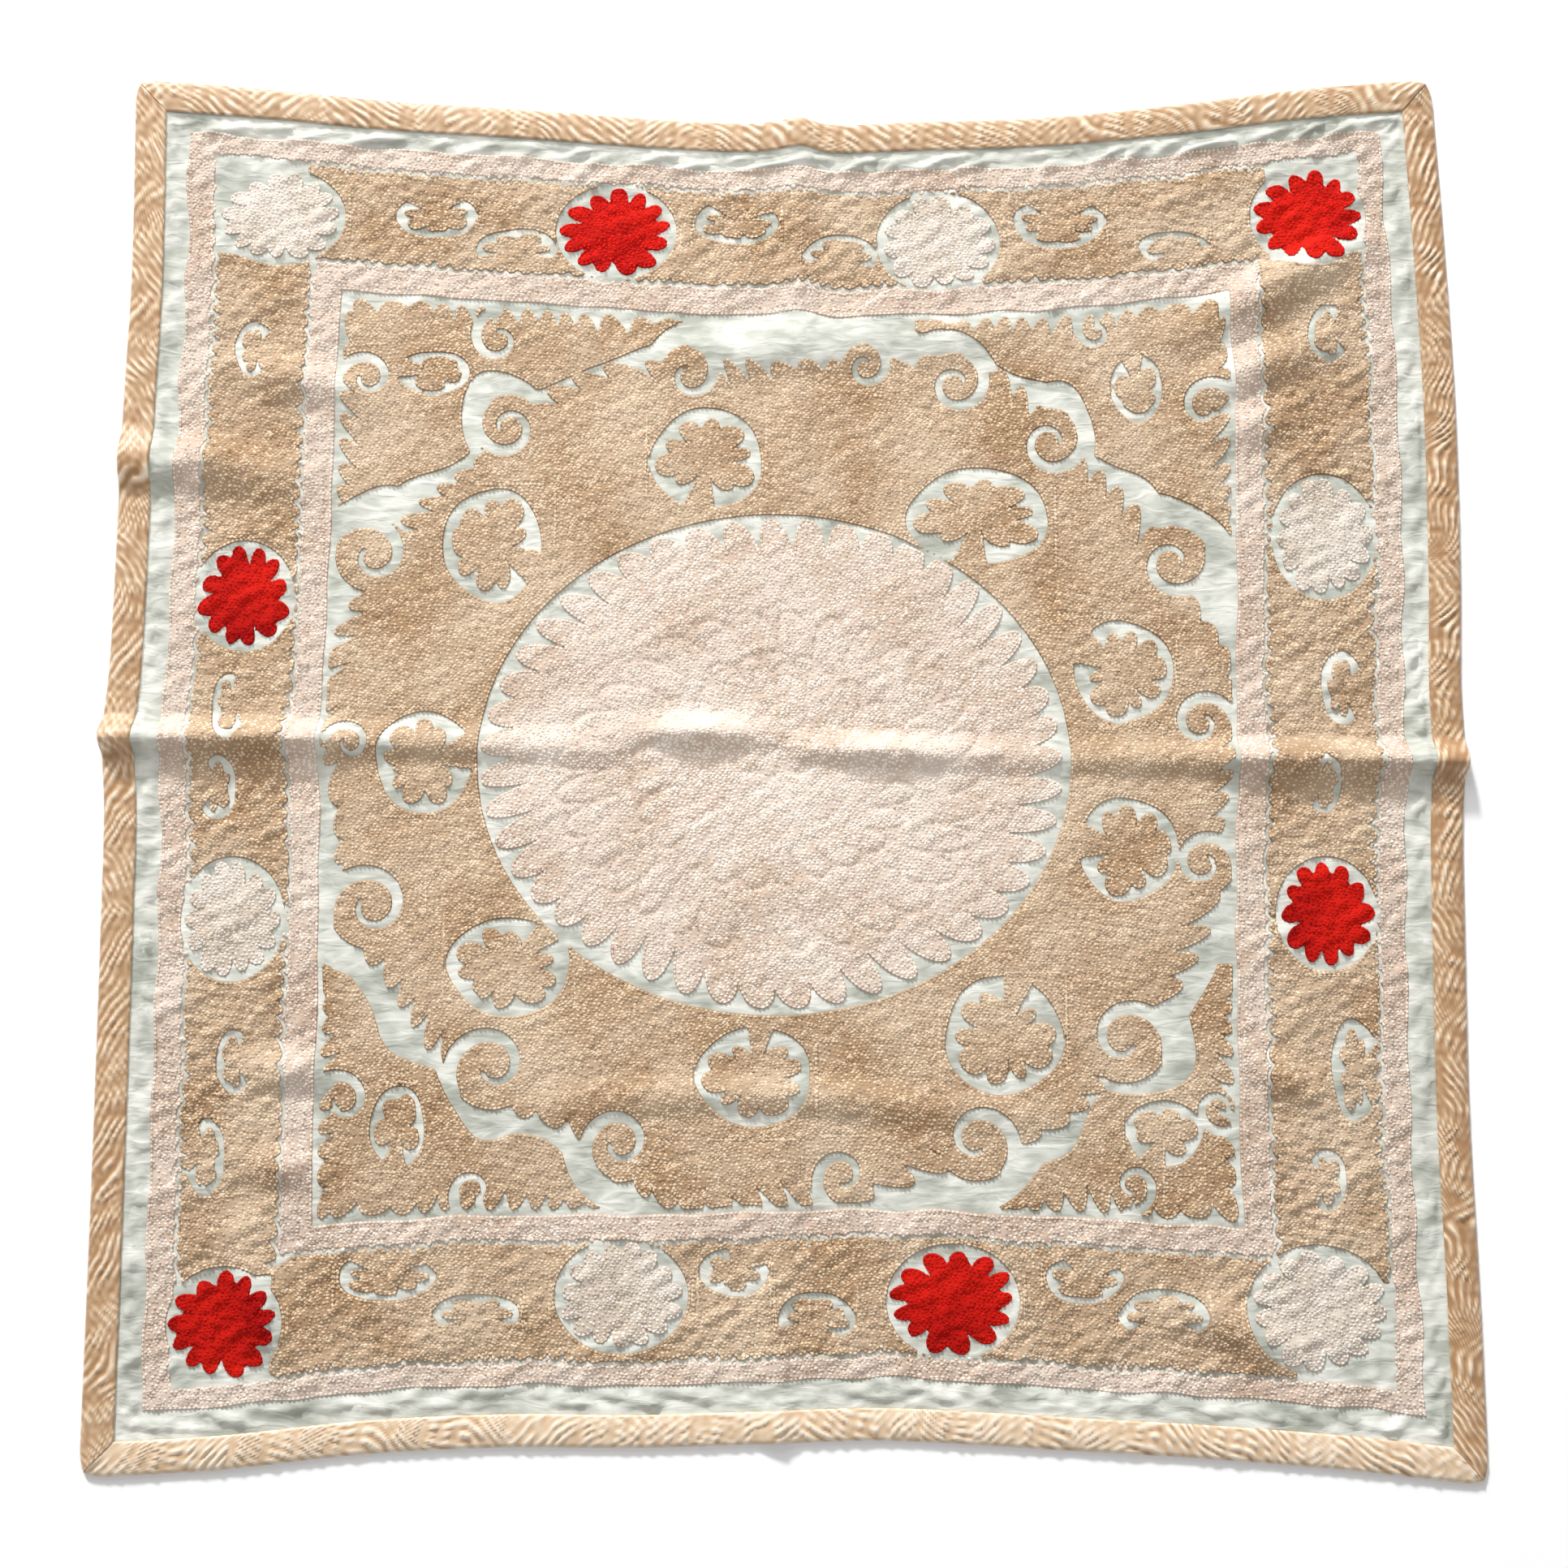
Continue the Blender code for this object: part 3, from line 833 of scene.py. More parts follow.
class Canvas:
    """A fine grid over the cloth on which the pattern is drawn as fields.

    A field is above 0 inside its shape and below 0 outside it, roughly as far as the place is from the
    shape's edge, in metres.
    """

    def __init__(
        self, form: ClothForm, pitch: float = 1.25 * MM, wide: float = 0.5, high: float = 0.52
    ) -> None:
        """Lays out the grid.

        Args:
            form: the outline and the folds.
            pitch: the distance between grid points.
            wide: half the grid's width.
            high: half the grid's height.
        """
        self.pitch = pitch
        self.columns = np.arange(-wide, wide + pitch / 2, pitch)
        self.rows = np.arange(-high, high + pitch / 2, pitch)
        self.x, self.y = np.meshgrid(self.columns, self.rows)
        self.height = form.top_of_ground(self.x, self.y)
        self.crinkle = form.crinkle(self.x, self.y)

    def window(self, x: float, y: float, reach: float) -> tuple[slice, slice]:
        """The part of the grid within reach of a place.

        Args:
            x: the place across.
            y: the place along.
            reach: how far the part reaches from it.

        Returns:
            The part's rows and columns.
        """
        i0, i1 = np.searchsorted(self.columns, (x - reach, x + reach))
        j0, j1 = np.searchsorted(self.rows, (y - reach, y + reach))
        return slice(j0, j1), slice(i0, i1)

    def sample(self, field: Array, x: Array, y: Array) -> Array:
        """A field's value between grid points.

        Args:
            field: the field.
            x: places across.
            y: places along.

        Returns:
            The value at each place.
        """
        u = np.clip((x - self.columns[0]) / self.pitch, 0, len(self.columns) - 1.001)
        v = np.clip((y - self.rows[0]) / self.pitch, 0, len(self.rows) - 1.001)
        i, j = u.astype(int), v.astype(int)
        s, t = u - i, v - j
        low = field[j, i] * (1 - s) + field[j, i + 1] * s
        high = field[j + 1, i] * (1 - s) + field[j + 1, i + 1] * s
        return low * (1 - t) + high * t

    def settle(self, field: Array) -> Array:
        """Scales a field by its slope, so that it gives distances near its edge."""
        gy, gx = np.gradient(field, self.pitch)
        return field / np.maximum(np.hypot(gx, gy), 0.5)


def petal_field(
    x: Array, y: Array, flower: Flower, depth: float, size: float, notch: float, lean: float
) -> Array:
    """A rosette's field.

    Args:
        x: places across.
        y: places along.
        flower: the rosette's middle, half sizes, petals and turn.
        depth: how deep the gaps between its petals cut, as a share of its radius.
        size: its size as a share of the flower's.
        notch: how round the petals are, from 0 for straight slits to 1 for wide gaps.
        lean: how far the gaps turn sideways on their way in, in radians for each share of the radius.

    Returns:
        The field.
    """
    u = (x - flower.x_mm * MM) / (flower.rx_mm * MM * size)
    v = (y - flower.y_mm * MM) / (flower.ry_mm * MM * size)
    rho = np.hypot(u, v)
    angle = np.arctan2(v, u) - math.radians(flower.turn_deg)
    # handwork isn't quite round, and flowers of many petals are the more regular ones
    odd = min(1.0, 14 / flower.petals)
    uneven = 1 + odd * (0.035 * np.sin(3 * angle + flower.x_mm) + 0.025 * np.sin(5 * angle + flower.y_mm))
    # 1 in the middle of each petal and 0 in the gaps, which are a little uneven in place and depth
    turned = angle + lean * (1 - rho)
    lobe = np.abs(np.cos(flower.petals * turned / 2 + 0.35 * np.sin(2 * angle + flower.x_mm)))
    cut = depth * (1 + 0.35 * np.sin(7 * angle + flower.y_mm))
    radius = uneven * (1 - cut * (1 - lobe**notch))
    return (radius - rho) * min(flower.rx_mm, flower.ry_mm) * MM * size


def oval_field(x: Array, y: Array, flower: Flower, margin: float = 0.0) -> Array:
    """The field of the oval that a flower fills, widened by a margin.

    Args:
        x: places across.
        y: places along.
        flower: the flower.
        margin: how far the oval reaches past the flower.

    Returns:
        The field.
    """
    rx, ry = flower.rx_mm * MM + margin, flower.ry_mm * MM + margin
    rho = np.hypot((x - flower.x_mm * MM) / rx, (y - flower.y_mm * MM) / ry)
    return (1 - rho) * math.sqrt(rx * ry)


def palmette_gap(x: Array, y: Array, fan: Palmette) -> Array:
    """The field of the bare cloth in a palmette's oval.

    Args:
        x: places across.
        y: places along.
        fan: the palmette.

    Returns:
        The field.
    """
    u, v = (x - fan.x_mm * MM) / (fan.rx_mm * MM), (y - fan.y_mm * MM) / (fan.ry_mm * MM)
    rho = np.hypot(u, v)
    turn = np.mod(np.arctan2(v, u) - math.radians(fan.stem_deg) + math.pi, 2 * math.pi) - math.pi
    neck = math.radians(fan.neck_deg)
    share = np.clip((np.abs(turn) - neck) / (math.pi - neck), 0, 1)
    uneven = 0.05 * np.sin(3 * turn + fan.x_mm) + 0.03 * np.sin(5 * turn + fan.y_mm)
    # 1 in the middle of each petal and 0 in the slits, and a deeper bay on each side of the neck
    lobe = np.abs(np.sin(math.pi * (fan.petals * share / 2 + 0.2 * np.sin(4 * turn + fan.x_mm) * share)))
    slit = 0.42 + 0.14 * np.sin(3 * turn + fan.y_mm)
    bay = 0.30 * np.exp(-((share / 0.18) ** 2))
    petals = 1 - fan.gap * (0.4 + 0.7 * share) - bay + uneven - slit * (1 - lobe**0.36)
    petals = np.where(np.abs(turn) < neck, 1.3, petals)
    radius = min(fan.rx_mm, fan.ry_mm) * MM
    return np.minimum((1 + 0.5 * uneven - rho) * radius, (rho - petals) * radius)


def scroll_field(x: Array, y: Array, scroll: Scroll) -> Array:
    """The field of a scroll's gap, which narrows as it winds inward.

    Args:
        x: places across.
        y: places along.
        scroll: the scroll.

    Returns:
        The field.
    """
    radius = scroll.radius_mm * MM
    sweep = 0.82 + 0.10 * math.sin(scroll.x_mm)  # turns from the mouth to the inner end
    best = np.full_like(x, -np.inf)
    # the gap is a row of discs, from outside the mouth, where t is below 0, to its inner end at 1
    for t in np.linspace(-0.28, 1, 44):
        angle = math.radians(scroll.mouth_deg) + scroll.winds.value * 2 * math.pi * sweep * t
        reach = radius * (1.0 - 0.66 * max(t, 0) ** 0.85 - 1.3 * min(t, 0))
        half = radius * (0.03 + 0.16 * (1 - max(t, 0)) ** 1.2) + 0.45 * MM
        cx = scroll.x_mm * MM + reach * math.cos(angle)
        cy = scroll.y_mm * MM + reach * math.sin(angle)
        best = np.maximum(best, half - np.hypot(x - cx, y - cy))
    return best


def teeth(along: Array, deep: Array, pitch: float, height: float, lean: float, notch: float) -> Array:
    """The edge of a serrated leaf.

    Args:
        along: distance along the edge.
        deep: distance in from the edge, which the teeth lean with.
        pitch: length of one tooth.
        height: height of one tooth.
        lean: how far a tooth leans for each metre inward.
        notch: how wide the gaps between teeth are, from 0 for slits to 1 for wide gaps.

    Returns:
        How much the teeth take off the edge.
    """
    # the teeth of handwork are uneven in length and in height
    wander = 0.30 * np.sin(along / (pitch * 1.9)) + 0.17 * np.sin(along / (pitch * 0.83) + 1.0)
    share = np.mod((along + lean * deep) / pitch + wander, 1.0)
    lobe = np.sin(math.pi * share**0.8) ** notch
    uneven = 0.75 + 0.45 * np.sin(along / (pitch * 1.37) + 2.0) * np.sin(along / (pitch * 3.1))
    return height * uneven * (1 - lobe)


class Pattern:
    """The traditional layout of the embroidery, as one field for each colour of yarn."""

    def __init__(self, canvas: Canvas, form: ClothForm) -> None:
        """Draws all the fields.

        Args:
            canvas: the grid to draw on.
            form: the outline that the borders follow.
        """
        self.canvas = canvas
        self.insets = form.insets(canvas.x, canvas.y)
        self.wander = Noise(21, 0.06)(canvas.x, canvas.y) * 0.8 * MM
        self.fields = {
            "rose_bands": self.rose_bands(),
            "tan_border": self.tan_border(),
            "wreath": self.wreath(),
            "corner_leaves": self.corner_leaves(),
            "medallion": self.medallion(),
            "pale_rosettes": self.rosettes(PALE_ROSETTES, depth=0.34, notch=0.38),
            "red_rosettes": self.rosettes(RED_ROSETTES, depth=0.36, notch=0.55),
        }
        self.fields = {name: canvas.settle(field) for name, field in self.fields.items()}
        self.grooves = np.zeros_like(canvas.x)
        for ring in MEDALLION_RINGS:
            edge = petal_field(canvas.x, canvas.y, ring, depth=0.30, size=1.0, notch=0.30, lean=0.3)
            gap = canvas.settle(edge)
            self.grooves = np.maximum(self.grooves, np.exp(-((gap / RING_WIDTH) ** 2)))

    def inside(self, insets_mm: tuple[float, ...]) -> Array:
        """The field of all that lies further in than an inset on each side."""
        return Insets(*(near - mm * MM for near, mm in zip(self.insets, insets_mm))).nearest + self.wander

    def cut(
        self, field: Array, shapes: tuple[Any, ...], reach: Callable[..., float],
        gap: Callable[..., Array],
    ) -> None:
        """Cuts the gap of each shape out of a field, in place.

        Args:
            field: the field.
            shapes: the flowers, palmettes or scrolls.
            reach: gives how far a shape's gap reaches from its middle.
            gap: gives the gap's field at places across and along, for a shape.
        """
        for shape in shapes:
            w = self.canvas.window(shape.x_mm * MM, shape.y_mm * MM, reach(shape))
            field[w] = np.minimum(field[w], -gap(self.canvas.x[w], self.canvas.y[w], shape))

    def cut_ovals(self, field: Array, margin: float) -> None:
        """Cuts a bare oval round each rosette out of a field, in place.

        Args:
            field: the field.
            margin: how far the oval reaches past the rosette.
        """
        self.cut(
            field, RED_ROSETTES + PALE_ROSETTES, lambda each: each.reach + margin + 4 * MM,
            lambda x, y, each: oval_field(x, y, each, margin),
        )

    def cut_scrolls(self, field: Array, scrolls: tuple[Scroll, ...]) -> None:
        """Cuts the winding gap of each scroll out of a field."""
        self.cut(field, scrolls, lambda each: each.radius_mm * MM * 1.6, scroll_field)

    def cut_palmettes(self, field: Array, fans: tuple[Palmette, ...]) -> None:
        """Cuts the bare cloth of each palmette's oval out of a field."""
        self.cut(field, fans, lambda each: each.reach * 1.1, palmette_gap)

    def add_curls(self, field: Array, swell: float = 1.28, near: float = 60 * MM) -> None:
        """Adds the round head of each of the wreath's scrolls to a field, in place, so that it bulges out.

        Args:
            field: the field.
            swell: the head's radius as a share of the scroll's.
            near: how far past the scroll the field is changed.
        """
        canvas = self.canvas
        for scroll in WREATH_SCROLLS:
            x, y, radius = scroll.x_mm * MM, scroll.y_mm * MM, scroll.radius_mm * MM
            w = canvas.window(x, y, radius + near)
            away = np.hypot(canvas.x[w] - x, canvas.y[w] - y)
            field[w] = np.maximum(field[w], swell * radius - away)

    def rose_bands(self, gap: float = 1.5 * MM) -> Array:
        """The two narrow bands on both sides of the rosette border.

        Args:
            gap: the bare line between the bands and the border, and round the rosettes.

        Returns:
            The field.
        """
        past_corner = 6 * MM
        bare = np.minimum(self.corners() + past_corner, self.inside(TAN_START_MM))
        body = self.canvas.settle(np.maximum(self.border_body(), bare))
        bands = np.minimum(self.inside(BANDS_START_MM), -self.inside(BANDS_END_MM))
        field = np.minimum(bands, -body - gap)
        self.cut_ovals(field, gap)
        return field

    def border_body(self) -> Array:
        """The tan border with its scalloped edges, before anything is cut out of it.

        Returns:
            The field.
        """
        outer, inner = self.inside(TAN_START_MM), -self.inside(TAN_END_MM)
        upright = self.insets.upright
        along = np.where(upright, self.canvas.y, self.canvas.x)
        size = np.where(upright, 1.0, 0.72)  # the scallops are smaller on the level sides
        out, pitch, height, lean, notch = 2 * MM, 13 * MM, 7 * MM, 0.2, 0.75
        outer = outer + size * (out - teeth(along / size, outer, pitch, height, lean, notch))
        inner = inner + size * (out - teeth(along / size + 0.3, inner, pitch, height, -lean, notch))
        return np.minimum(outer, inner)

    def corners(self) -> Array:
        """The field of the border's four corners."""
        left, right, top, bottom = self.insets
        return CORNER_CELL - np.maximum(np.minimum(left, right), np.minimum(top, bottom))

    def tan_border(self) -> Array:
        """The leaf border, with scalloped edges, palmettes and a bare oval round each rosette.

        Returns:
            The field.
        """
        field = np.minimum(self.border_body(), -self.corners())
        self.cut_palmettes(field, BORDER_PALMETTES)
        self.cut_ovals(field, 3.0 * MM)
        return field

    def wreath_polar(self) -> tuple[Array, Array, Array]:
        """The places of the grid as seen from the medallion's middle.

        Returns:
            Their angle, their distance, and the wreath's plain radius in their direction.
        """
        dx, dy = self.canvas.x - MEDALLION.x_mm * MM, self.canvas.y - MEDALLION.y_mm * MM
        angle = np.arctan2(dy, dx)
        step = np.arange(len(WREATH_RADII_MM) + 1) * math.pi / 12
        radii = np.array(WREATH_RADII_MM + WREATH_RADII_MM[:1]) * MM
        radius = np.interp(np.mod(angle, 2 * math.pi), step, radii)
        return angle, np.hypot(dx, dy), radius + 6 * MM * np.sin(7 * angle + 0.5)

    def wreath(self) -> Array:
        """The wreath round the medallion, with its leafy outer edge, windows and scrolls.

        Returns:
            The field.
        """
        angle, far, radius = self.wreath_polar()
        mean_radius, out = 0.32, 5 * MM
        wreath = radius + 4 * MM * np.sin(13 * angle) - far
        leafy = teeth(angle * mean_radius, wreath, pitch=22 * MM, height=21 * MM, lean=0.8, notch=0.62)
        wreath = wreath + out - leafy
        wreath = np.minimum(wreath, -oval_field(self.canvas.x, self.canvas.y, MEDALLION))
        self.add_curls(wreath)
        self.cut_scrolls(wreath, WREATH_SCROLLS)
        self.cut_palmettes(wreath, WINDOWS)
        return np.minimum(wreath, self.inside(FIELD_MM))

    def corner_leaves(self, taper: float = 0.6) -> Array:
        """The four corner leaves, whose arms taper towards the middle of each side.

        Args:
            taper: how wide an arm grows for each metre from its tip.

        Returns:
            The field.
        """
        x, y = self.canvas.x, self.canvas.y
        angle, far, radius = self.wreath_polar()
        from_diagonal = np.degrees(np.abs(np.mod(angle, math.pi / 2) - math.pi / 4))
        pocket = np.exp(-(((from_diagonal - POCKET_DEG) / POCKET_SPREAD_DEG) ** 2))
        channel = CHANNEL_MM + POCKET_MM * pocket
        body = radius - far
        self.add_curls(body)
        field = self.inside(FIELD_MM)
        upright = self.insets.upright
        along = np.where(upright, np.abs(y), np.abs(x))
        tips = [np.where(y > 0, *pair) * MM for pair in zip(UPPER_TIPS_MM, LOWER_TIPS_MM)]
        past_tip = np.where(upright, along - SIDE_TIPS_MM * MM, np.maximum(tips[0] - x, x - tips[1]))
        full = smooth(past_tip, *TEETH_GROW)
        fingers = teeth(along, field, pitch=19 * MM, height=25 * MM, lean=0.8, notch=0.33)
        lobes = teeth(along, field, pitch=17 * MM, height=19 * MM, lean=0.3, notch=0.6)
        leaves = field - full * np.where(upright, fingers, lobes)
        channel = channel * MM + CHANNEL_AT_TIP * (1 - smooth(past_tip, *CHANNEL_NARROWS))
        leaves = np.minimum(np.minimum(leaves, -body - channel), taper * past_tip)
        self.cut_scrolls(leaves, CORNER_SCROLLS)
        self.cut_palmettes(leaves, CORNER_PALMETTES)
        return leaves

    def medallion(self) -> Array:
        """The pale round flower in the middle, with a rim of petals.

        Returns:
            The field.
        """
        x, y = self.canvas.x, self.canvas.y
        flower = MEDALLION._replace(y_mm=-3)  # its petals are longer below than above
        petals = petal_field(x, y, flower, depth=0.16, size=0.985, notch=0.36, lean=0.22)
        return np.minimum(petals, oval_field(x, y, MEDALLION, -1.6 * MM))

    def reliefs(self) -> dict[str, Array]:
        """The shallow grooves between rows in the bands and round rings of petals in the medallion."""
        rows = -ROW_DEPTH / 2 * (1 + np.cos(2 * math.pi * self.fields["rose_bands"] / ROW_PITCH))
        return {"medallion": -RING_DEPTH * self.grooves, "rose_bands": rows}

    def tints(self) -> dict[str, Array]:
        """Where a yarn is lighter or darker: lighter in the flower in the middle of the medallion, darker
        in the lower red rosettes, in soft patches, and with painted shade in the grooves between the
        medallion's rings of petals and between the rows of the rose bands.

        Returns:
            For each colour of yarn, how much is added to the shade.
        """
        canvas = self.canvas
        patches = 0.07 * Noise(91, 0.09)(canvas.x, canvas.y)
        core, inner = (
            smooth(
                petal_field(canvas.x, canvas.y, ring, depth=0.30, size=0.95, notch=0.5, lean=0.3),
                -1 * MM, 1 * MM,
            )
            for ring in MEDALLION_RINGS[:2]
        )
        bright_above = 0.5 * (1 - smooth(canvas.y, 0.20, 0.34))  # the upper red rosettes are the brightest
        painted_groove_shade_per_metre = 240.0
        tints = {name: patches for name in self.fields}
        tints["red_rosettes"] = patches - bright_above
        # the last term is painted shade in the grooves between the medallion's rings of petals
        tints["medallion"] = patches + (0.26 * inner - 0.16 * core) - 0.04 - 0.34 * self.grooves
        # painted shade in the grooves between the bands' rows, darker where a groove is deeper
        tints["rose_bands"] = patches + painted_groove_shade_per_metre * self.reliefs()["rose_bands"] + 0.08
        return tints

    def rosettes(self, flowers: tuple[Flower, ...], depth: float, notch: float) -> Array:
        """The field of all rosettes of one colour.

        Args:
            flowers: the rosettes.
            depth: how deep the gaps between their petals cut.
            notch: how round the petals are.

        Returns:
            The field.
        """
        canvas = self.canvas
        field = np.full_like(canvas.x, -1.0)
        for flower in flowers:
            w = canvas.window(flower.x_mm * MM, flower.y_mm * MM, flower.reach * 1.2)
            petals = petal_field(canvas.x[w], canvas.y[w], flower, depth, 1.0, notch, lean=0.15)
            field[w] = np.maximum(field[w], petals)
        return field


def edge_crossings(field: Array, level: float) -> tuple[Array, Array]:
    """Where a field crosses a level on the grid's edges, as shares of one edge.

    Args:
        field: the field.
        level: the level.

    Returns:
        The shares on the edges that run along a row, and on those that run along a column.
    """
    f = field - level
    with np.errstate(divide="ignore", invalid="ignore"):
        across = f[:, :-1] / (f[:, :-1] - f[:, 1:])
        along = f[:-1] / (f[:-1] - f[1:])
    return np.clip(np.nan_to_num(across), 0.02, 0.98), np.clip(np.nan_to_num(along), 0.02, 0.98)


# For each pattern of corners inside, bit 1 lower left, 2 lower right, 4 upper right, 8 upper left: the
# loops round what is inside, of corners 0 to 3 and of crossings 4 to 7 on the lower, right, upper and
# left edge
CELL_LOOPS = {
    1: ((0, 4, 7),), 2: ((4, 1, 5),), 3: ((0, 1, 5, 7),), 4: ((5, 2, 6),), 5: ((0, 4, 7), (5, 2, 6)),
    6: ((4, 1, 2, 6),), 7: ((0, 1, 2, 6, 7),), 8: ((7, 6, 3),), 9: ((0, 4, 6, 3),),
    10: ((4, 1, 5), (7, 6, 3)), 11: ((0, 1, 5, 6, 3),), 12: ((7, 5, 2, 3),), 13: ((0, 4, 5, 2, 3),),
    14: ((4, 1, 2, 3, 7),), 15: ((0, 1, 2, 3),),
}


class Traced(NamedTuple):
    """A field's inside as polygons: grid points and crossings, and the loops over them."""

    x: Array
    y: Array
    on_edge: Array
    faces: list[Array]


def trace(canvas: Canvas, field: Array, level: float, stride: int) -> Traced:
    """Turns the inside of a field to polygons.

    Args:
        canvas: the grid.
        field: the field on it.
        level: where the inside begins.
        stride: uses every so many grid points.

    Returns:
        The polygons.
    """
    f = field[::stride, ::stride]
    x, y = canvas.x[::stride, ::stride], canvas.y[::stride, ::stride]
    high, wide = f.shape
    across, along = edge_crossings(f, level)
    on_rows = x[:, :-1] + across * (x[:, 1:] - x[:, :-1])
    on_columns = y[:-1] + along * (y[1:] - y[:-1])
    px = np.concatenate([x.ravel(), on_rows.ravel(), x[:-1].ravel()])
    py = np.concatenate([y.ravel(), y[:, :-1].ravel(), on_columns.ravel()])
    inside = f > level
    code = inside[:-1, :-1] * 1 + inside[:-1, 1:] * 2 + inside[1:, 1:] * 4 + inside[1:, :-1] * 8
    row_edges = high * wide
    column_edges = row_edges + high * (wide - 1)
    faces = []
    for kind, loops in CELL_LOOPS.items():
        j, i = np.nonzero(code == kind)
        ids = np.stack([
            j * wide + i, j * wide + i + 1, (j + 1) * wide + i + 1, (j + 1) * wide + i,
            row_edges + j * (wide - 1) + i, column_edges + j * wide + i + 1,
            row_edges + (j + 1) * (wide - 1) + i, column_edges + j * wide + i,
        ], 1)
        faces += [ids[:, list(loop)] for loop in loops if len(ids)]
    used = np.unique(np.concatenate([f.ravel() for f in faces]))
    renumber = np.zeros(len(px), np.int64)
    renumber[used] = np.arange(len(used))
    return Traced(px[used], py[used], used >= row_edges, [renumber[f] for f in faces])


def outlines(traced: Traced, fewest: int = 8) -> list[tuple[Array, Array]]:
    """The outlines of traced polygons.

    Args:
        traced: the polygons.
        fewest: an outline with no more points than this is left out.

    Returns:
        Each closed outline as its x and y.
    """
    after: dict[int, int] = {}
    for loops in traced.faces:
        edge = traced.on_edge[loops]
        follow = np.roll(loops, -1, axis=1)
        both = edge & np.roll(edge, -1, axis=1)
        after.update(zip(loops[both].tolist(), follow[both].tolist()))
    found = []
    while after:
        first, here = after.popitem()
        chain = [first]
        while here != first and here in after:
            chain.append(here)
            here = after.pop(here)
        if len(chain) > fewest:
            found.append((traced.x[chain], traced.y[chain]))
    return found


def mesh_object(
    name: str, corners: Array, faces: list[Array], material: bpy.types.Material, shade: Array | None = None
) -> bpy.types.Object:
    """Makes a smooth object out of arrays.

    Args:
        name: the piece's name.
        corners: one row of x, y and z for each corner.
        faces: arrays of faces, each array with one number of corners to a face.
        material: what the piece is made of.
        shade: a value from 0 to 1 at each corner, which the material reads.

    Returns:
        The new object.
    """
    mesh = bpy.data.meshes.new(name)
    loops = np.concatenate([f.ravel() for f in faces]).astype(np.int32)
    sizes = np.concatenate([np.full(len(f), f.shape[1]) for f in faces]).astype(np.int32)
    mesh.vertices.add(len(corners))
    mesh.vertices.foreach_set("co", corners.astype(np.float32).ravel())
    mesh.loops.add(len(loops))
    mesh.loops.foreach_set("vertex_index", loops)
    mesh.polygons.add(len(sizes))
    mesh.polygons.foreach_set("loop_start", np.concatenate([[0], np.cumsum(sizes)[:-1]]).astype(np.int32))
    mesh.update(calc_edges=True)
    mesh.validate()
    mesh.shade_smooth()
    if shade is not None:
        layer = mesh.attributes.new("shade", "FLOAT", "POINT")
        layer.data.foreach_set("value", shade.astype(np.float32))
    plan = mesh.uv_layers.new(name="OFBake")
    at = np.empty(len(mesh.loops), np.int32)
    mesh.loops.foreach_get("vertex_index", at)
    low = corners[:, :2].min(0)
    span = np.ptp(corners[:, :2], axis=0).max()
    margin = 0.01
    flat = margin + (1 - 2 * margin) * (corners[at, :2] - low) / span
    plan.uv.foreach_set("vector", flat.astype(np.float32).ravel())
    mesh.materials.append(material)
    piece = bpy.data.objects.new(name, mesh)
    bpy.context.scene.collection.objects.link(piece)
    return piece


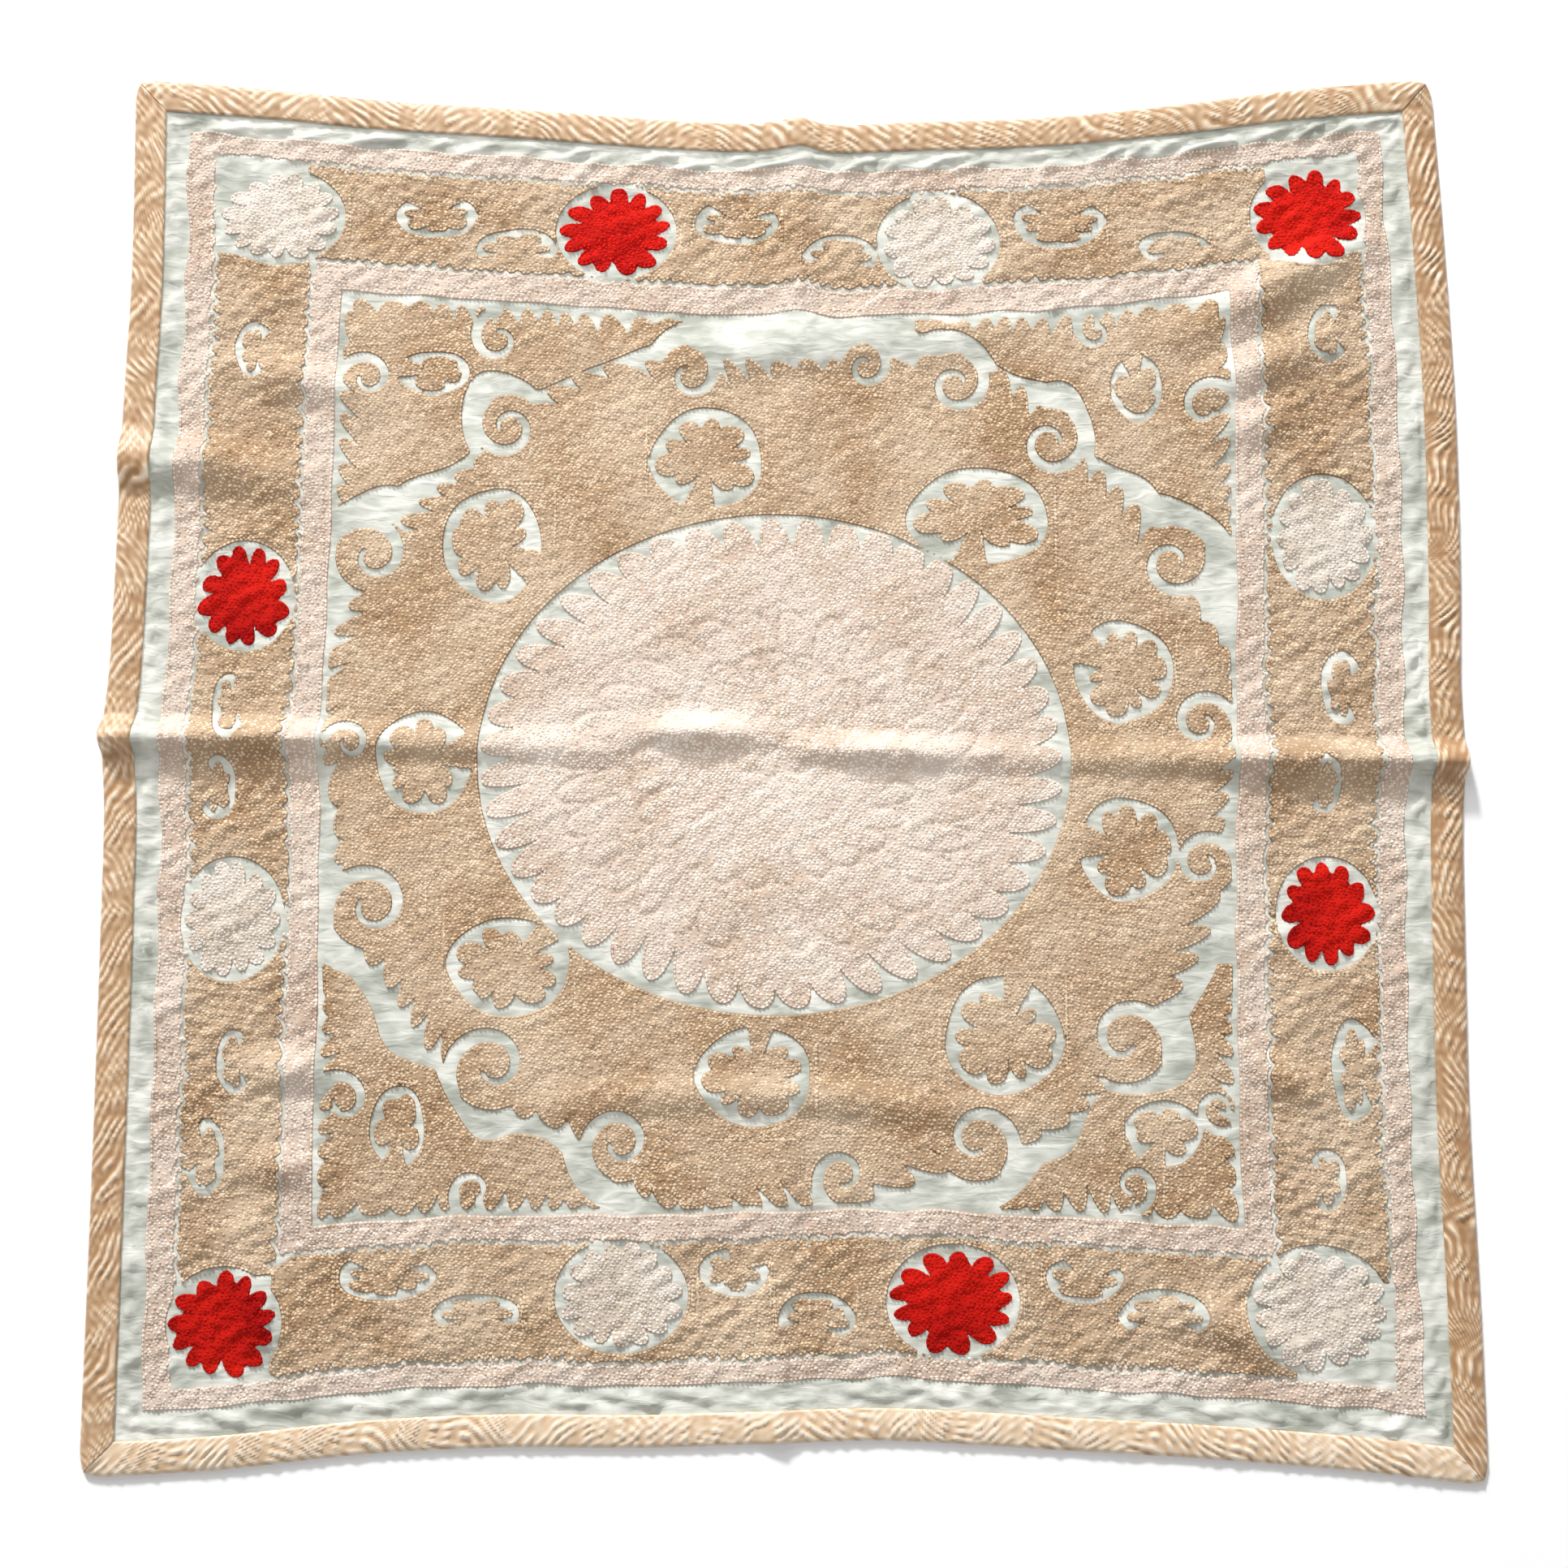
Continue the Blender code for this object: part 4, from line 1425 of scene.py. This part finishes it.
@dataclass
class GroundCloth:
    """The white cotton cloth under the embroidery."""

    form: ClothForm
    canvas: Canvas
    cover: Array  # the field of all the embroidery, which presses the cloth down
    cells: int = 288
    cells_per_back: int = 3
    thickness: float = 0.8 * MM
    lowest_front: float = 0.1 * MM
    lowest_back: float = 0.02 * MM
    pressed: float = 1.0 * MM
    pressed_from: tuple[float, float] = (1.5 * MM, 4.0 * MM)
    edge_bend: float = 0.93  # where the cloth dips into the binding, with 1 at the edge
    crease: float = 0.0
    closer: float = 1.6  # how much closer the lines lie at a bend
    bend_share: float = 0.06  # how far that reaches, with 1 from the middle to the edge

    def build(self, finish: PlainWeaveCotton) -> bpy.types.Object:
        """Builds the cloth: an upper and an under skin joined at the raw edge.

        Args:
            finish: the cotton.

        Returns:
            The cloth.
        """
        n, step, bend = self.cells, self.cells_per_back, self.edge_bend
        a_end, b_end = 1 - 2 * RAW_EDGE / WIDTH, 1 - 2 * RAW_EDGE / LENGTH
        across, along = self.lines((-bend, bend)), self.lines((-bend, self.crease, bend))
        a, b = np.meshgrid(a_end * across, b_end * along)
        x, y = self.form.place(a, b)
        pressed = self.pressed * smooth(self.canvas.sample(self.cover, x, y), *self.pressed_from)
        z = np.maximum(self.form.top_of_ground(x, y) - pressed, self.lowest_front)
        upper = np.stack([x, y, z], -1).reshape(-1, 3)
        under = np.stack([x, y, z - self.thickness], -1)[::step, ::step].reshape(-1, 3)
        under[:, 2] = np.maximum(under[:, 2], self.lowest_back)
        grid = np.arange((n + 1) ** 2).reshape(n + 1, n + 1)
        m = n // step
        back = len(upper) + np.arange((m + 1) ** 2).reshape(m + 1, m + 1)
        faces = [self.quads(grid), self.quads(back)[:, ::-1]]
        rims = [
            (grid[0], back[0]), (grid[:, -1], back[:, -1]),
            (grid[-1, ::-1], back[-1, ::-1]), (grid[::-1, 0], back[::-1, 0]),
        ]
        for fine, coarse in rims:
            ends = np.stack([coarse[:-1], coarse[1:]], 1)
            steps = [fine[step - k :: step][:m] for k in range(step + 1)]
            faces.append(np.concatenate([ends, np.stack(steps, 1)], 1))
        return mesh_object("ground_cotton", np.concatenate([upper, under]), faces, finish.build())

    def lines(self, bends: tuple[float, ...]) -> Array:
        """The grid's lines in one direction, closer together where the cloth bends sharply.

        Args:
            bends: the places of the sharp bends, from -1 at one edge to 1 at the other.

        Returns:
            The places of the lines.
        """
        at = np.linspace(-1, 1, 4001)
        near = (np.exp(-(((at - bend) / self.bend_share) ** 2)) for bend in bends)
        walked = np.cumsum(1 + sum(self.closer * each for each in near))
        walked = (walked - walked[0]) / (walked[-1] - walked[0])
        return np.interp(np.linspace(0, 1, self.cells + 1), walked, at)

    def quads(self, grid: Array) -> Array:
        """The faces between neighbouring points of a grid of numbers."""
        return np.stack([grid[:-1, :-1], grid[:-1, 1:], grid[1:, 1:], grid[1:, :-1]], -1).reshape(-1, 4)


@dataclass
class Binding:
    """One side's satin binding, folded over the raw edge and gathered into slanting wrinkles."""

    form: ClothForm
    side: Side
    wrinkle_height: float
    painted_side_light: float  # painted light, as in Gather
    slant: float
    stations: int = 720
    front_points: int = 15
    leaf: float = 0.6 * MM
    slot_top: float = 2.3 * MM
    crown: float = 0.55 * MM  # how far the middle of the front bulges
    fold_height: float = 1.3 * MM
    mitre_gap: float = 0.15 * MM
    wrinkle_pitch: float = 0.0115
    cross_pitch: float = 0.0090
    sharpness: float = 1.3
    lifted: float = 0.8  # how far the front is lifted, as a share of the wrinkles' height
    calm_end: tuple[float, float] = (0.015, 0.06)  # how far from a corner the wrinkles are full

    def build(self, material: bpy.types.Material) -> bpy.types.Object:
        """Builds the strip.

        Args:
            material: the satin.

        Returns:
            The strip.
        """
        inward, height, share = self.section()
        upright = self.upright
        length, across = (LENGTH, WIDTH) if upright else (WIDTH, LENGTH)
        t = np.linspace(0, 1, self.stations)[:, None]
        end = 1 - 2 * (inward[None] + self.mitre_gap) / length
        along = -end + 2 * end * t
        out = np.broadcast_to(1 - 2 * inward[None] / across, along.shape)
        sign = 1 if self.side in (Side.RIGHT, Side.TOP) else -1
        a, b = (sign * out, along) if upright else (along, sign * out)
        x, y = self.form.place(a, b)
        most_a, most_b = 1 - 2 * STRIP_WIDTH / WIDTH, 1 - 2 * STRIP_WIDTH / LENGTH
        lift = self.form.ridges(*self.form.place(np.clip(a, -most_a, most_a), np.clip(b, -most_b, most_b)))
        wrinkle, crest = self.wrinkles(along * length / 2, np.broadcast_to(inward[None], along.shape))
        z = height[None] + lift + (wrinkle + self.lifted * self.wrinkle_height) * share[None]
        shade = np.where(share[None] > 0, crest, 0.5)
        corners = np.stack([x, y, z], -1).reshape(-1, 3)
        count = len(inward)
        ring = np.arange(self.stations * count).reshape(self.stations, count)
        ring = np.concatenate([ring, ring[:, :1]], 1)
        faces = np.stack([ring[:-1, :-1], ring[1:, :-1], ring[1:, 1:], ring[:-1, 1:]], -1).reshape(-1, 4)
        if self.side in (Side.BOTTOM, Side.RIGHT):
            faces = faces[:, ::-1]
        caps = [ring[:1, :-1], ring[-1:, :-1][:, ::-1]]
        return mesh_object(
            f"satin_binding_{self.side.value}", corners, [faces, *caps], material, shade.ravel()
        )

    @property
    def upright(self) -> bool:
        """Whether the strip runs along the left or the right side."""
        return self.side in (Side.LEFT, Side.RIGHT)

    def section(self) -> tuple[Array, Array, Array]:
        """The strip's section, from the slot round the front, the fold and the back.

        Returns:
            Distance in from the edge, height, and how much of the wrinkles each point takes.
        """
        t = np.linspace(0, 1, self.front_points)
        crown = self.slot_top + self.leaf + self.crown * np.sin(math.pi * np.clip(t * 1.05, 0, 1)) ** 0.7
        front = crown - (crown - self.fold_height) * np.clip((t - 0.86) / 0.14, 0, 1) ** 2
        rest = (
            (0.6 * MM, 0.4 * MM), (2.2 * MM, 0.0), (STRIP_BACK_WIDTH, 0.0), (STRIP_BACK_WIDTH, self.leaf),
            (SLOT_END, self.leaf), (SLOT_END, self.slot_top), (STRIP_WIDTH, self.slot_top),
        )
        inward = np.concatenate([STRIP_WIDTH * (1 - t) ** 1.15, [at for at, _ in rest]])
        height = np.concatenate([front, [up for _, up in rest]])
        on_front = 0.35 + 0.65 * np.sin(math.pi * np.clip(t * 1.1, 0, 1))
        share = np.concatenate([on_front, np.zeros(len(rest))])
        share[self.front_points - 1] = 0.15
        return inward, height, share

    def wrinkles(self, along: Array, inward: Array) -> tuple[Array, Array]:
        """The slanting wrinkles of the front.

        Args:
            along: distance along the side.
            inward: distance in from the edge.

        Returns:
            Their height, and a shade from 0 in the hollows to 1 on the crests, which paints shade in the
            hollows and highlight on the crests.
        """
        seed = list(Side).index(self.side)
        drift, strength = Noise(31 + seed, 0.06), Noise(41 + seed, 0.075)
        kink = Noise(51 + seed, 0.018)
        fine, gate = Noise(71 + seed, 0.009, 12), Noise(81 + seed, 0.015)
        phase = (along + self.slant * inward * (1 + 0.25 * drift(along, inward * 0))) / self.wrinkle_pitch
        phase = phase + 0.35 * drift(along, inward * 0.5) + 0.07 * kink(along, inward)
        ridge = (1 - np.abs(np.sin(math.pi * phase))) ** self.sharpness
        # a few wrinkles cross the others where those are weak
        cross = (along - 0.8 * self.slant * inward) / self.cross_pitch + 0.3 * drift(along + 1, inward)
        cross = math.pi * cross + 0.25 * kink(along, inward + 1)
        other = (1 - np.abs(np.sin(cross))) ** self.sharpness
        mix = np.clip(0.92 + 1.0 * strength(along, inward * 0.3), 0.0, 1)
        from_end = (LENGTH if self.upright else WIDTH) / 2 - np.abs(along)
        mix = mix * (0.3 + 0.7 * smooth(from_end, *self.calm_end))
        comes = np.clip(0.62 + 0.5 * gate(along, inward * 0.6), 0.1, 1)
        wave = (ridge * mix + 0.85 * other * (1 - mix)) * comes + 0.07 * fine(along, inward)
        # a thin line of painted shade lies in the hollow between two wrinkles
        crease = np.abs(np.sin(math.pi * phase)) ** 9 * mix * np.clip(comes + 0.2, 0, 1)
        # painted highlight on the crests and painted shade in the hollows, moved for each side by its
        # painted light
        shade = np.clip(0.31 + self.painted_side_light + 1.05 * wave - 0.4 * crease, 0, 1)
        return self.wrinkle_height * (1.5 * wave - 0.4), shade


class StitchPlan(NamedTuple):
    """Where stitches lie: their middles, directions and sizes as shares of a full stitch."""

    x: Array
    y: Array
    direction: Array
    length: Array


@dataclass
class Embroidery:
    """One colour of embroidery: a raised bed and the rows of chain stitch that cover it."""

    canvas: Canvas
    form: ClothForm
    name: str
    field: Array
    relief: Array
    tint: Array
    finish: CottonYarn
    crinkled: float  # how far washing has crinkled it, as a share of the cloth's crinkle
    seed: int
    bed_height: float = 0.9 * MM
    bed_edge: float = 1.6 * MM  # the width over which the bed rises
    bed_dip: float = 0.2 * MM
    deepest: float = 0.75 * MM  # how far a groove or the crinkle may sink the work
    stitch_length: float = 3.5 * MM
    stitch_width: float = 2.2 * MM
    stitch_height: float = 1.05 * MM
    stitch_sunk: float = 0.12 * MM
    outline_inset: float = 1.5 * MM
    fill_inset: float = 2.6 * MM
    row_wave: float = 1.5 * MM
    row_wave_length: float = 0.021
    # how uneven the hand is, in shares of a stitch or in radians
    length_spread: tuple[float, float] = (0.88, 1.1)
    width_spread: tuple[float, float] = (0.9, 1.1)
    height_spread: tuple[float, float] = (0.7, 1.2)
    place_spread: float = 0.3
    row_spread: float = 0.22
    turn_spread: float = 0.3
    # the yarn's shade: its mean and spread, how much a painted highlight lightens a loop's top,
    # and how much a painted shade darkens its foot
    shade_mean: float = 0.55
    shade_spread: float = 0.27
    painted_top_highlight: float = 0.25
    painted_foot_shade: float = 0.5
    # how far loops overlap in the fill, and how close they lie along an outline
    overlap: float = 1.12
    side_overlap: float = 1.1
    outline_pitch: float = 0.92
    outline_size: float = 0.95

    def build(self) -> list[bpy.types.Object]:
        """Builds the bed and its stitches.

        Returns:
            The pieces.
        """
        material = self.finish.build()
        return [self.bed(material), self.stitches(material)]

    def bed(self, material: bpy.types.Material) -> bpy.types.Object:
        """Builds the raised bed, whose edge dips under the ground cloth's surface.

        Args:
            material: the yarn.

        Returns:
            The bed.
        """
        traced = trace(self.canvas, self.field, 0.0, 2)
        inner = self.canvas.sample(self.field, traced.x, traced.y)
        bed = self.bed_height + self.draw_up(traced.x, traced.y)
        rise = np.where(traced.on_edge, -self.bed_dip, bed * np.clip(inner / self.bed_edge, 0.25, 1))
        z = self.canvas.sample(self.canvas.height, traced.x, traced.y) + rise
        # painted shade: the bed shows between the loops in a deep shade, darkest along its rim as a thin
        # line of shade at the edge
        shade = np.where(inner < 1.2 * MM, 0.0, 0.14)
        return mesh_object(
            f"{self.name}_bed", np.stack([traced.x, traced.y, z], 1), traced.faces, material, shade
        )

    def stitches(self, material: bpy.types.Material) -> bpy.types.Object:
        """Builds all stitches of this colour as one piece of small round loops.

        Args:
            material: the yarn.

        Returns:
            The stitches.
        """
        rng = np.random.default_rng(self.seed)
        plans = [self.fill_plan(rng), *self.outline_plans()]
        x, y, direction, size = (np.concatenate(part) for part in zip(*plans))
        count = len(x)
        half_l = 0.5 * self.stitch_length * self.overlap * size * rng.uniform(*self.length_spread, count)
        half_w = 0.5 * self.stitch_width * self.side_overlap * rng.uniform(*self.width_spread, count)
        # each loop has a start, a right side, an end, a left side and a top
        u = half_l[:, None] * np.array([-1.0, 0.15, 1.0, 0.15, 0.2])
        v = half_w[:, None] * np.array([0.0, -1.0, 0.0, 1.0, 0.0])
        top = np.array([0, 0, 0, 0, 1])
        c, s = np.cos(direction)[:, None], np.sin(direction)[:, None]
        px, py = x[:, None] + u * c - v * s, y[:, None] + u * s + v * c
        rise = self.stitch_height * rng.uniform(*self.height_spread, count)[:, None] * top
        bed = self.bed_height - self.stitch_sunk + self.draw_up(px, py)
        z = self.canvas.sample(self.canvas.height, px, py) + bed + rise
        corners = np.stack([px, py, z], -1).reshape(-1, 3)
        loops = np.array([(0, 1, 4), (1, 2, 4), (2, 3, 4), (3, 0, 4)])
        faces = (np.arange(count)[:, None, None] * 5 + loops[None]).reshape(-1, 3)
        base = np.clip(rng.normal(self.shade_mean, self.shade_spread, count), 0.0, 1)[:, None]
        base = base + self.canvas.sample(self.tint, x, y)[:, None]
        # painted highlight on each loop's top and painted shade at its foot
        shade = np.where(top == 1, base + self.painted_top_highlight, base - self.painted_foot_shade).clip(0, 1)
        return mesh_object(f"{self.name}_stitches", corners, [faces], material, shade.ravel())

    def draw_up(self, x: Array, y: Array) -> Array:
        """How far washing and the shallow grooves of the pattern lift or sink the work at each place."""
        crinkle = self.crinkled * self.canvas.sample(self.canvas.crinkle, x, y)
        return np.maximum(crinkle + self.canvas.sample(self.relief, x, y), -self.deepest)

    def fill_plan(self, rng: np.random.Generator) -> StitchPlan:
        """Lays rows that run across the cloth and wave a little, kept inside the shape.

        Args:
            rng: the source of the stitches' unevenness.

        Returns:
            The stitches of the fill.
        """
        rows = int(LENGTH / self.stitch_width)
        per_row = int(WIDTH / self.stitch_length)
        row, at = np.meshgrid(np.arange(rows), np.arange(per_row), indexing="ij")
        along = rng.uniform(-self.place_spread, self.place_spread, at.shape)
        across = rng.uniform(-self.row_spread, self.row_spread, at.shape)
        a = (2 * (at + 0.5 * (row % 2) + along) / per_row - 1).ravel()
        b = (2 * (row + 0.5 + across) / rows - 1).ravel()
        x, y = self.form.place(a, b)
        wave = Noise(77, self.row_wave_length)
        step = 1.5 * MM  # over which a row's slope is taken
        y = y + self.row_wave * wave(x, y)
        slope = self.row_wave * (wave(x + step, y) - wave(x - step, y)) / (2 * step)
        kept = self.canvas.sample(self.field, x, y) > self.fill_inset
        count = int(kept.sum())
        direction = np.arctan(slope[kept]) + rng.normal(0, self.turn_spread, count)
        return StitchPlan(x[kept], y[kept], direction, np.ones(count))

    def outline_plans(self) -> list[StitchPlan]:
        """Lays one row of stitches just inside each outline.

        Returns:
            One plan for each outline.
        """
        plans = []
        for x, y in outlines(trace(self.canvas, self.field, self.outline_inset, 1)):
            x, y = np.append(x, x[0]), np.append(y, y[0])
            walked = np.concatenate([[0], np.cumsum(np.hypot(np.diff(x), np.diff(y)))])
            count = int(walked[-1] / (self.stitch_length * self.outline_pitch))
            if count < 3:
                continue
            at = (np.arange(count) + 0.5) * walked[-1] / count
            reach = 0.3 * self.stitch_length
            px, py = np.interp(at, walked, x), np.interp(at, walked, y)
            dx = np.interp(at + reach, walked, x) - np.interp(at - reach, walked, x)
            dy = np.interp(at + reach, walked, y) - np.interp(at - reach, walked, y)
            plans.append(StitchPlan(px, py, np.arctan2(dy, dx), np.full(count, self.outline_size)))
        return plans


class LightKind(Enum):
    """The kinds of light that hang in the studio."""

    SUN = "SUN"
    AREA = "AREA"
    SPOT = "SPOT"


class Lamp(NamedTuple):
    """One light: where it hangs, the point that it shines on, its power and its other settings."""

    name: str
    kind: LightKind
    place: tuple[float, float, float]
    aim: tuple[float, float, float]
    power: float
    settings: dict[str, float]


# A far soft key light at the top left, a weak one opposite, a window behind, and a soft pool of light on
# the middle of the cloth
LAMPS = (
    Lamp(
        "key_light", LightKind.SUN, (-0.6, 1.9, 0.85), (0.0, 0.0, 0.0), 3.6, {"angle": math.radians(7.0)}
    ),
    Lamp(
        "fill_light", LightKind.SUN, (0.9, -1.2, 2.6), (0.0, 0.0, 0.0), 0.4, {"angle": math.radians(40.0)}
    ),
    Lamp("window_light", LightKind.AREA, (-0.35, 1.5, 1.15), (0.0, 0.2, 0.0), 15.0, {"size": 1.2}),
    Lamp(
        "soft_spot", LightKind.SPOT, (-0.25, 0.5, 3.0), (-0.07, 0.11, 0.0), 55.0,
        {"spot_size": math.radians(25.0), "spot_blend": 1.0, "shadow_soft_size": 0.35},
    ),
)


@dataclass
class Studio:
    """Plain pale floor, soft light from the top left, and the camera above the cloth."""

    floor_size: float = 12.0
    floor_gap: float = 0.4 * MM
    room_strength: float = 0.33
    sensor_mm: float = 36.0
    focal_px: float = 2873.0
    image_px: float = 1932.0
    tilt_deg: float = 7.5
    distance: float = 1.7
    aim: tuple[float, float, float] = (-0.0007, -0.0212, 0.0)

    def build(self) -> None:
        """Builds the floor, the lights and the camera."""
        self.floor()
        self.lights()
        self.camera()

    def floor(self) -> None:
        """Lays the floor just under the cloth."""
        bpy.ops.mesh.primitive_plane_add(size=self.floor_size, location=(0, 0, -self.floor_gap))
        floor = bpy.context.object
        floor.name = "floor"
        floor.data.materials.append(PaleSweep().build())

    def lights(self) -> None:
        """Hangs the lights, each turned to its point, in a pale room."""
        for lamp in LAMPS:
            data = bpy.data.lights.new(lamp.name, lamp.kind.value)
            data.energy = lamp.power
            for setting, value in lamp.settings.items():
                setattr(data, setting, value)
            light = bpy.data.objects.new(lamp.name, data)
            light.location = lamp.place
            towards = Vector(lamp.aim) - Vector(lamp.place)
            light.rotation_euler = towards.to_track_quat("-Z", "Y").to_euler()
            bpy.context.scene.collection.objects.link(light)
        world = bpy.data.worlds.new("pale_room")
        world.use_nodes = True
        room = world.node_tree.nodes["Background"].inputs
        room["Color"].default_value = (1.0, 1.0, 1.0, 1.0)
        room["Strength"].default_value = self.room_strength
        bpy.context.scene.world = world
        bpy.context.scene.view_settings.view_transform = "Standard"

    def camera(self) -> None:
        """Places the camera where the photograph was taken from."""
        data = bpy.data.cameras.new("camera")
        data.sensor_width = self.sensor_mm
        data.lens = self.focal_px * self.sensor_mm / self.image_px
        camera = bpy.data.objects.new("camera", data)
        tilt = math.radians(self.tilt_deg)
        camera.location = (
            self.aim[0], self.aim[1] - self.distance * math.sin(tilt), self.distance * math.cos(tilt)
        )
        camera.rotation_euler = (tilt, 0.0, 0.0)
        bpy.context.scene.collection.objects.link(camera)
        bpy.context.scene.camera = camera


# Each colour's yarn, and how far washing has crinkled it
YARNS = {
    "rose_bands": (BAND_YARN, 0.45), "tan_border": (TAN_YARN, 0.9), "wreath": (TAN_YARN, 1.0),
    "corner_leaves": (TAN_YARN, 1.0), "medallion": (PALE_YARN, 0.6),
    "pale_rosettes": (ROSETTE_YARN, 0.3), "red_rosettes": (RED_YARN, 0.45),
}
FIRST_YARN_SEED = 100


def report(piece: bpy.types.Object) -> None:
    """Says what was built."""
    log.info("%s: %d faces", piece.name, len(piece.data.polygons))


def main() -> None:
    """Builds and dresses all pieces, in the order in which they lie on each other."""
    logging.basicConfig(level=logging.INFO, format="%(message)s")
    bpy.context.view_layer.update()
    form = ClothForm()
    canvas = Canvas(form)
    pattern = Pattern(canvas, form)

    cover = np.maximum.reduce(list(pattern.fields.values()))
    ground = GroundCloth(form, canvas, cover).build(PlainWeaveCotton())
    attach(ground, "root")
    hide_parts("embroidered_cloth")
    report(ground)

    satin = BiasSatin().build()
    for side in Side:
        strip = Binding(form, side, *BINDING_LOOKS[side]).build(satin)
        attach(strip, "root")
        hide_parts(f"binding_{side.value}")
        report(strip)

    reliefs, tints = pattern.reliefs(), pattern.tints()
    plain = np.zeros_like(canvas.x)
    for seed, (name, (yarn, crinkled)) in enumerate(YARNS.items(), FIRST_YARN_SEED):
        field, relief = pattern.fields[name], reliefs.get(name, plain)
        work = Embroidery(canvas, form, name, field, relief, tints[name], yarn, crinkled, seed)
        for piece in work.build():
            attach(piece, "root")
            report(piece)

    Studio().build()
    bpy.context.view_layer.update()


if __name__ == "__main__":
    main()
